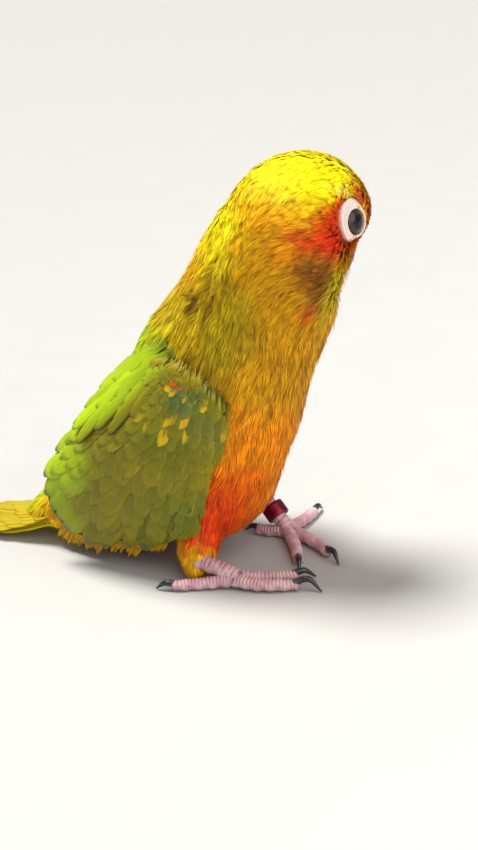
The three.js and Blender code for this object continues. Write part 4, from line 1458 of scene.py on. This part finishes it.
def build_eye(side):
    """The eyeball, a little flattened along its axis, with a dark iris round the pupil."""
    axis = EYE_OUT[side]
    across, upright = sideways_frame(axis)
    rows = 60
    columns = 64
    polar = np.linspace(0.0, math.pi, rows)
    turn = full_turn(columns)
    r = np.sin(polar)[:, None]
    height = np.cos(polar)[:, None] * np.ones(columns)
    ball = (
        height[..., None] * axis * EYE_BULGE
        + (r * np.cos(turn))[..., None] * across
        + (r * np.sin(turn))[..., None] * upright
    ) * EYE_RADIUS
    points = (EYES[side] + ball).reshape(-1, 3)
    faces = grid_faces(rows, columns, closed=True)[:, ::-1]
    reach = (r * EYE_RADIUS * np.ones(columns)).reshape(-1)
    spokes = np.stack([9 * np.cos(turn), 9 * np.sin(turn), turn * 0], axis=-1)
    streak = 0.5 + 0.5 * noise(spokes, 1.0, 3)
    iris = EYE_BROWN * (0.65 + 0.6 * np.tile(streak, rows))[:, None]
    dark = smooth((PUPIL_RADIUS - reach) / 0.3)[:, None]
    rim = smooth((reach - 3.7) / 0.5)[:, None] * 0.8
    tint = mixed(iris, PUPIL, dark) * (1 - rim)
    tint[height.reshape(-1) < 0] = PUPIL
    uv = np.stack([0.5 + 0.48 * (r * np.cos(turn)), 0.5 + 0.48 * (r * np.sin(turn))], axis=-1).reshape(-1, 2)
    tint = with_alpha(tint, 1)
    add_piece("eyeball_" + side, "eye", points, faces, eye_material, tint, uv, replaces=["eye_" + side])


# The bare ring's inner lip: distance from the eye's axis and height along it. Outside it the ring lies on the
# face.
LIP_LINE = ((3.9, 1.3), (4.0, 1.9), (4.1, 2.4), (4.25, 2.75), (4.5, 2.9), (5.0, 2.8), (5.6, 2.6))
RING_EDGE = 6.7
RING_THICK = 0.3


def face_height(side, base):
    """Height of the face's surface over each point, along the eye's axis."""
    low = np.full(len(base), -8.0)
    high = np.full(len(base), 8.0)
    for _ in range(16):
        middle = (low + high) / 2
        inside = flesh_distance(base + middle[:, None] * EYE_OUT[side]) < 0
        low = np.where(inside, middle, low)
        high = np.where(inside, high, middle)
    return low


def build_lids(side):
    """The bare wrinkled ring round the eye, with a beaded inner edge."""
    axis = EYE_OUT[side]
    across, upright = sideways_frame(axis)
    turn = full_turn(150)
    r = np.linspace(LIP_LINE[0][0], RING_EDGE + 0.7, 72)[:, None] * np.ones(len(turn))
    offset = (r * np.cos(turn))[..., None] * across + (r * np.sin(turn))[..., None] * upright
    offset = offset + smooth((r - 4.4) / 2.4)[..., None] * RING_SHIFT
    face = face_height(side, (EYES[side] + offset).reshape(-1, 3)).reshape(r.shape)
    lip = np.interp(r, [row[0] for row in LIP_LINE], [row[1] for row in LIP_LINE])
    on_face = smooth((r - 4.6) / 2.0)
    sunk = 0.9 * smooth((r - 5.2) / 1.5) + 1.4 * smooth((r - RING_EDGE) / 0.6)
    bare = smooth((r - 4.4) / 0.8)
    crease = np.sin(r * 7.5 + 0.9 * np.sin(turn * 5) + 0.5 * np.sin(turn * 11))
    fold = np.sin(turn * 26 + 1.5 * np.sin(turn * 3) + r)
    bead = np.sin(turn * 38) * smooth(1 - np.abs(r - 4.35) / 0.4)
    h = lip * (1 - on_face) + (face + RING_THICK) * on_face - sunk
    h = h + bare * (0.06 * crease + 0.05 * fold) + 0.09 * bead
    points = (EYES[side] + h[..., None] * axis + offset).reshape(-1, 3)
    shade = (0.5 - 0.5 * crease) * 0.16 * bare + 0.1 * (0.5 - 0.5 * fold) * bare
    shade = (shade + 0.55 * smooth((4.35 - r) / 0.3)).clip(0, 1).reshape(-1, 1)
    tint = mixed(RING_SKIN, RING_SHADE, shade)
    blush = (0.4 * smooth((r - 6.5) / 0.8)).reshape(-1, 1)
    tint = mixed(tint, RING_BLUSH, blush)
    faces = grid_faces(r.shape[0], len(turn), closed=True)[:, ::-1]
    uv = np.stack([0.5 + 0.055 * r * np.cos(turn), 0.5 + 0.055 * r * np.sin(turn)], axis=-1).reshape(-1, 2)
    add_piece("eye_ring_" + side, "skin", points, faces, bare_material, with_alpha(tint, 1), uv)


eye = Material("eye", 0.12, Coat_Weight=0.15, Coat_Roughness=0.03, Specular_IOR_Level=0.25)
eye.feed(eye.shader, Base_Color=eye.tint().outputs["Color"])
eye_material = eye.made
bare_material = mottled_material(
    "bare_skin", WHITE * 0.86, WHITE, 0.55, 1400, 0.35, 0.0003, tinted=True, Subsurface_Weight=0.15, **FLESH
)
for side in ("left", "right"):
    build_eye(side)
    build_lids(side)

# Bill

UPPER_BILL = [
    ((8, 0, 1.5), 6), ((15, 0, 0.8), 6), ((20.2, 0, -1.8), 4.9), ((23.2, 0, -6.8), 3),
    ((22.8, 0, -12.4), 0.9),
]
LOWER_BILL = [((8, 0, -6.5), 4.8), ((14, 0, -8.6), 4.7), ((19.4, 0, -10.8), 3.4)]


def limb_grid(stops, rows, columns, tips=(0.7, 0.7)):
    """Rings round a limb with rounded ends, and the share along it of each ring."""
    centres = curve([at for at, _ in stops], rows)
    place = np.linspace(0, len(stops) - 1, rows)
    radii = np.interp(place, range(len(stops)), [r for _, r in stops])
    direction = unit(np.gradient(centres, axis=0))
    across = unit(np.cross(UPWARD, direction))
    over = np.cross(direction, across)
    bends = np.linspace(0.15, 1, 6)[:-1]
    rings = []
    for s in bends:
        angle = (1 - s) * math.pi / 2
        rings.append((0, -math.sin(angle) * tips[0], math.cos(angle)))
    rings += [(i, 0.0, 1.0) for i in range(rows)]
    for s in bends[::-1]:
        angle = (1 - s) * math.pi / 2
        rings.append((rows - 1, math.sin(angle) * tips[1], math.cos(angle)))
    turn = full_turn(columns)
    points = []
    shares = []
    for i, forward, scale in rings:
        ring = ring_of(turn, across[i], over[i])
        points.append(centres[i] + direction[i] * forward * radii[i] + ring * radii[i] * scale)
        shares.append(i / (rows - 1))
    return np.array(points), np.array(shares), turn


HORN = srgb(0x17161A)
HORN_PALE = srgb(0x4A4648)
CLAW_HORN = HORN * 2.2
CLAW_PALE = HORN_PALE * 1.6


def add_limb(name, slot, grid, material, tint, node):
    """A piece of its own from rings, closed round."""
    rows, columns = grid.shape[:2]
    uv = grid_uv(rows, columns, (0.02, 0.02), (0.98, 0.98)).reshape(-1, 2)
    faces = grid_faces(rows, columns, closed=True)
    add_piece(name, slot, grid.reshape(-1, 3), faces, material, tint, uv, replaces=[node])


def pale_base(shares, turn, reach, strength):
    """How pale each point of a horny part is, fading out along it."""
    return (strength * smooth(1 - shares / reach)[:, None] * np.ones(len(turn))).reshape(-1, 1)


def build_bill(name, stops, node, ridged):
    grid, shares, turn = limb_grid(stops, 44, 40, (0.4, 1.0))
    grid = grid * np.array([1, BILL_NARROWING, 1])
    lines = 0.05 * np.sin(shares * 60)[:, None] * np.ones(len(turn))
    centre = grid.mean(axis=1, keepdims=True)
    away = unit(grid - centre)
    ridge = 0.35 * np.exp(-(((turn - math.pi / 2) / 0.3) ** 2))[None] if ridged else 0
    grid = grid + away * (lines + ridge)[..., None]
    grid = from_head(grid)
    tint = mixed(HORN, HORN_PALE, pale_base(shares, turn, 0.4, 0.5))
    add_limb(name, "bill", grid, horn_material, with_alpha(tint, 1), node)


def build_cere():
    """The low bare swelling over the bill, with a nostril on each side."""
    rows = 26
    columns = 32
    polar = np.linspace(0.01, math.pi - 0.01, rows)[:, None]
    turn = full_turn(columns)[None]
    level = np.sin(polar)
    ball = np.stack([level * np.cos(turn), level * np.sin(turn), np.cos(polar) + 0 * turn], axis=-1)
    points = []
    faces = []
    tints = []
    uvs = []
    for index, sign in enumerate((1, -1)):
        to_nostril = unit(np.array([1.8, sign * 0.5, 0.8]))
        depth = np.exp(-((1 - ball @ to_nostril) / 0.06))
        local = ball * (2.4 - 1.1 * depth)[..., None] + np.array([16.0, sign * 2.5, 4.2])
        points.append(from_head(local.reshape(-1, 3)))
        faces.append(grid_faces(rows, columns, closed=True)[:, ::-1] + index * rows * columns)
        # The nostrils' hollows are painted dark as shade.
        dark = smooth(depth * 1.4).reshape(-1, 1)
        tints.append(mixed(RING_SHADE, PUPIL, dark))
        low = 0.02 + 0.5 * index
        uvs.append(grid_uv(rows, columns, (low, 0.02), (low + 0.46, 0.98)).reshape(-1, 2))
    tint = with_alpha(np.concatenate(tints), 1)
    points, faces, uvs = (np.concatenate(values) for values in (points, faces, uvs))
    add_piece("cere", "skin", points, faces, bare_material, tint, uvs)


horn_material = mottled_material(
    "horn", WHITE * 0.8, WHITE, 0.32, 700, 0.15, 0.0002, tinted=True, Coat_Weight=0.25, Coat_Roughness=0.2
)
build_bill("bill_upper", UPPER_BILL, "beak_upper", True)
build_bill("bill_lower", LOWER_BILL, "beak_lower", False)
build_cere()

# Legs

# Each leg's shank, and its toes: three points along the toe, then three along its claw.
LEGS = {
    "right": {
        "tarsus": [((-17, -22.6, 7.6), 2.4), ((-9.5, -23.2, 7.2), 2.7), ((1, -22.8, 3.4), 2.9)],
        "toes": [
            [(1, -21.5, 3), (10, -17.5, 2.4), (18, -12.6, 2),
             (17.4, -13, 2.6), (21, -10.8, 3.4), (24, -9, 0.9)],
            [(1, -24, 3), (11.5, -23.4, 2.4), (21.5, -19.4, 2.1),
             (20.8, -19.7, 3), (26, -18.4, 4.4), (30.4, -18.8, 0.9)],
            [(0, -23.6, 2.8), (-9, -27.6, 2.2), (-18.5, -32, 2),
             (-17.8, -31.7, 2.4), (-21.8, -33, 3), (-25, -33.4, 0.9)],
            [(1, -21.8, 2.8), (-5, -18.6, 2.2), (-10.5, -16.4, 2),
             (-9.8, -16.6, 2.4), (-13.2, -15.6, 2.8), (-16, -15, 0.9)],
        ],
    },
    "left": {
        "tarsus": [((-10.5, 22.2, 17.5), 2.5), ((-7.4, 22, 12), 2.6), ((1, 19.4, 3.6), 2.9)],
        "toes": [
            [(2, 18, 3), (9, 8, 2.4), (14, -0.5, 2), (13.6, 0.2, 2.6), (15.6, -3.4, 3), (16.8, -6.2, 0.9)],
            [(2, 19, 3), (12.5, 14.4, 2.4), (22, 7.6, 2.1), (21.4, 8.2, 3), (25.4, 5, 3.8), (28.2, 2, 0.9)],
            [(1, 20, 2.8), (2.6, 29.5, 2.4), (3, 38.5, 2), (3, 37.8, 2.4), (3.4, 42, 3.2), (3.4, 45.4, 0.9)],
            [(1, 19.4, 2.8), (-5, 18.4, 2.2), (-10.5, 18.8, 2),
             (-9.8, 18.8, 2.4), (-13.6, 19.2, 2.8), (-16.4, 19.4, 0.9)],
        ],
    },
}
TOE_RADII = (2.5, 2.1, 1.85)
CLAW_RADII = (1.35, 1.05, 0.35)
FOOT_PINK = srgb(0xCB98A4)
FOOT_PALE = srgb(0xE8C8C8)
# The feet's shade colour: painted into the grooves between the scutes and onto the undersides.
FOOT_SHADE = srgb(0x74424F)


def build_foot(side):
    """A foot: the shank and four toes, ringed with scutes above and knobbed with pads below."""
    leg = LEGS[side]
    limbs = [(leg["tarsus"], 60, 0.7)]
    limbs += [(list(zip(path, TOE_RADII)), 110, 0.82) for path in leg["toes"]]
    parts = []
    offset = 0
    for index, (stops, rows, scute) in enumerate(limbs):
        grid, shares, turn = limb_grid(stops, rows, 36)
        away = unit(grid - grid.mean(axis=1, keepdims=True))
        on_top = smooth((away[..., 2] + 0.35) / 0.7)
        length = sum(math.dist(a[0], b[0]) for a, b in zip(stops, stops[1:]))
        wander = 0.25 * noise(grid, 2.6, 9 + index)
        phase = shares[:, None] * length * scute + wander
        ridge = np.abs(np.sin(math.pi * phase)) ** 0.6
        pads = np.sin(shares[:, None] * length / 4.4 * 2 * math.pi + index) * np.ones(len(turn))
        small = noise(grid, 0.6, 5 + index)
        lump = noise(grid, 2.4, 15 + index)
        rise = 0.42 * (ridge - 0.75) * on_top + (0.2 * pads + 0.14 * small) * (1 - on_top)
        rise = rise + 0.16 * lump + 0.05 * small
        grid = grid + away * rise[..., None]
        grid[..., 2] = np.maximum(grid[..., 2], 0.05)
        # Painted shade: the grooves between the top scutes darker, towards the shade colour.
        groove_shade = (smooth((0.62 - ridge) / 0.5) * on_top).reshape(-1, 1)
        blotch = smooth(0.5 + 0.9 * lump).reshape(-1, 1)
        tint = mixed(FOOT_PINK, FOOT_PALE, 0.6 * blotch)
        tint = mixed(tint, FOOT_SHADE, 0.8 * groove_shade)
        # Painted shade: the undersides of the shank and toes darker, towards the shade colour.
        painted_underside_shade = (0.35 * smooth(-away[..., 2])).reshape(-1, 1)
        tint = mixed(tint, FOOT_SHADE, painted_underside_shade)
        corner = (0.01 + 0.2 * index, 0.02)
        uv = grid_uv(grid.shape[0], len(turn), corner, (corner[0] + 0.18, 0.98)).reshape(-1, 2)
        faces = grid_faces(grid.shape[0], len(turn), closed=True) + offset
        parts.append((grid.reshape(-1, 3), faces, tint, uv))
        offset += grid.shape[0] * len(turn)
    points, faces, tint, uv = (np.concatenate([part[k] for part in parts]) for k in range(4))
    tint = with_alpha(tint, 1)
    add_piece("foot_skin_" + side, "skin", points, faces, foot_material, tint, uv, replaces=["foot_" + side])


def build_claw(side, index, path):
    grid, shares, turn = limb_grid(list(zip(path, CLAW_RADII)), 24, 18, (0.3, 1.6))
    grid[..., 2] = np.maximum(grid[..., 2], 0.05)
    tint = mixed(CLAW_HORN, CLAW_PALE, pale_base(shares, turn, 0.35, 0.8))
    own = f"{side}_{index}"
    add_limb("nail_" + own, "claw", grid, horn_material, with_alpha(tint, 1), "claw_" + own)


foot_material = mottled_material(
    "foot_skin", WHITE * 0.82, WHITE, 0.5, 1600, 0.3, 0.0002, tinted=True, Subsurface_Weight=0.1, **FLESH
)
for side in ("left", "right"):
    build_foot(side)
    for number, path in enumerate(LEGS[side]["toes"], 1):
        build_claw(side, number, path[3:])

# Leg ring: a turned metal band with a rounded edge

RING_RED = srgb(0x8C1438)
RING_DARK = srgb(0x5A0A22)


def build_leg_ring():
    ankle = np.array(LEGS["left"]["tarsus"][1][0], float)
    pad = np.array(LEGS["left"]["tarsus"][2][0], float)
    axis = unit(pad - ankle)
    centre = ankle + (pad - ankle) * 0.36
    across, upright = sideways_frame(axis)
    outer = [(3.35, -2.4), (3.5, -2.6), (4.1, -2.6), (4.28, -2.4), (4.3, -1.5), (4.3, 0)]
    line = outer + [(r, -h) for r, h in outer[-2::-1]] + [(3.35, 0), (3.35, -2.4)]
    turn = full_turn(72)
    ring = ring_of(turn, across, upright)
    grid = np.array([centre + axis * h + r * ring for r, h in line])
    add_limb("leg_band", "ring_metal", grid, ring_material, None, "leg_ring")


ring_material = mottled_material("ring_metal", RING_DARK, RING_RED, 0.34, 450, 0.1, 0.0001, Metallic=0.7)
build_leg_ring()

# Studio: a plain pale floor, soft lights and the camera

floor_mesh = bpy.data.meshes.new("floor")
FLOOR_REACH = 14.0
corners = [(x * FLOOR_REACH, y * FLOOR_REACH, 0) for x, y in ((-1, -1), (1, -1), (1, 1), (-1, 1))]
floor_mesh.from_pydata(corners, [], [(0, 1, 2, 3)])
floor = new_object("floor", floor_mesh)
floor_mesh.materials.append(mottled_material("floor", WHITE * 0.42, WHITE * 0.43, 0.8, 30, 0.02, 0.001))

azimuth = math.radians(CAMERA_AZIMUTH)
pitch = math.radians(CAMERA_PITCH)
roll = math.radians(CAMERA_ROLL)
level_right = np.array([math.cos(azimuth), math.sin(azimuth), 0])
ahead = np.array([-math.sin(azimuth), math.cos(azimuth), 0])
looking = ahead * math.cos(pitch) - UPWARD * math.sin(pitch)
level_up = np.cross(level_right, looking)
view_right = math.cos(roll) * level_right - math.sin(roll) * level_up
view_up = math.sin(roll) * level_right + math.cos(roll) * level_up


def placed_matrix(position, right, up, back):
    rows = [[right[i], up[i], back[i], position[i]] for i in range(3)]
    return mathutils.Matrix([*rows, [0, 0, 0, 1]])


camera_data = bpy.data.cameras.new("camera")
camera_data.sensor_width = 36
camera_data.lens = 36 * CAMERA_FOCAL / PICTURE_HEIGHT
camera_data.clip_start = 0.01
camera = new_object("camera", camera_data)
camera.matrix_world = placed_matrix(to_row(np.array(CAMERA_AT)), view_right, view_up, -looking)
bpy.context.scene.camera = camera

# Lights: a soft-edged sun and one weak lamp. Each is name, kind, place from the bird's middle in metres,
# angle or size, strength and colour. Of the sun's place only the direction counts.
MIDDLE = to_row(np.array([-5.0, 0.0, 75.0]))
LIGHTS = [
    ("key", "SUN", -view_right * 0.28 + view_up * 0.93 - looking * 0.2, 0.35, 5.3, (1.0, 0.97, 0.9)),
    ("fill", "AREA", view_right * 0.5 - looking * 0.9 + view_up * 0.4, 1.2, 10, (1.0, 0.98, 0.94)),
]


def facing_back(position, back):
    side_way = unit(np.cross(UPWARD, back))
    return placed_matrix(position, side_way, np.cross(back, side_way), back)


for light_name, kind, offset, size, power, colour in LIGHTS:
    light_data = bpy.data.lights.new(light_name, kind)
    if kind == "SUN":
        light_data.angle = size
    else:
        light_data.size = size
    light_data.energy = power
    light_data.color = colour
    light = new_object(light_name, light_data)
    light.matrix_world = facing_back(MIDDLE + offset, unit(offset))

world = bpy.data.worlds.new("studio")
world.use_nodes = True
world.node_tree.nodes["Background"].inputs["Color"].default_value = (0.9, 0.9, 0.88, 1)
world.node_tree.nodes["Background"].inputs["Strength"].default_value = 0.4
bpy.context.scene.world = world
bpy.context.scene.view_settings.view_transform = "Standard"
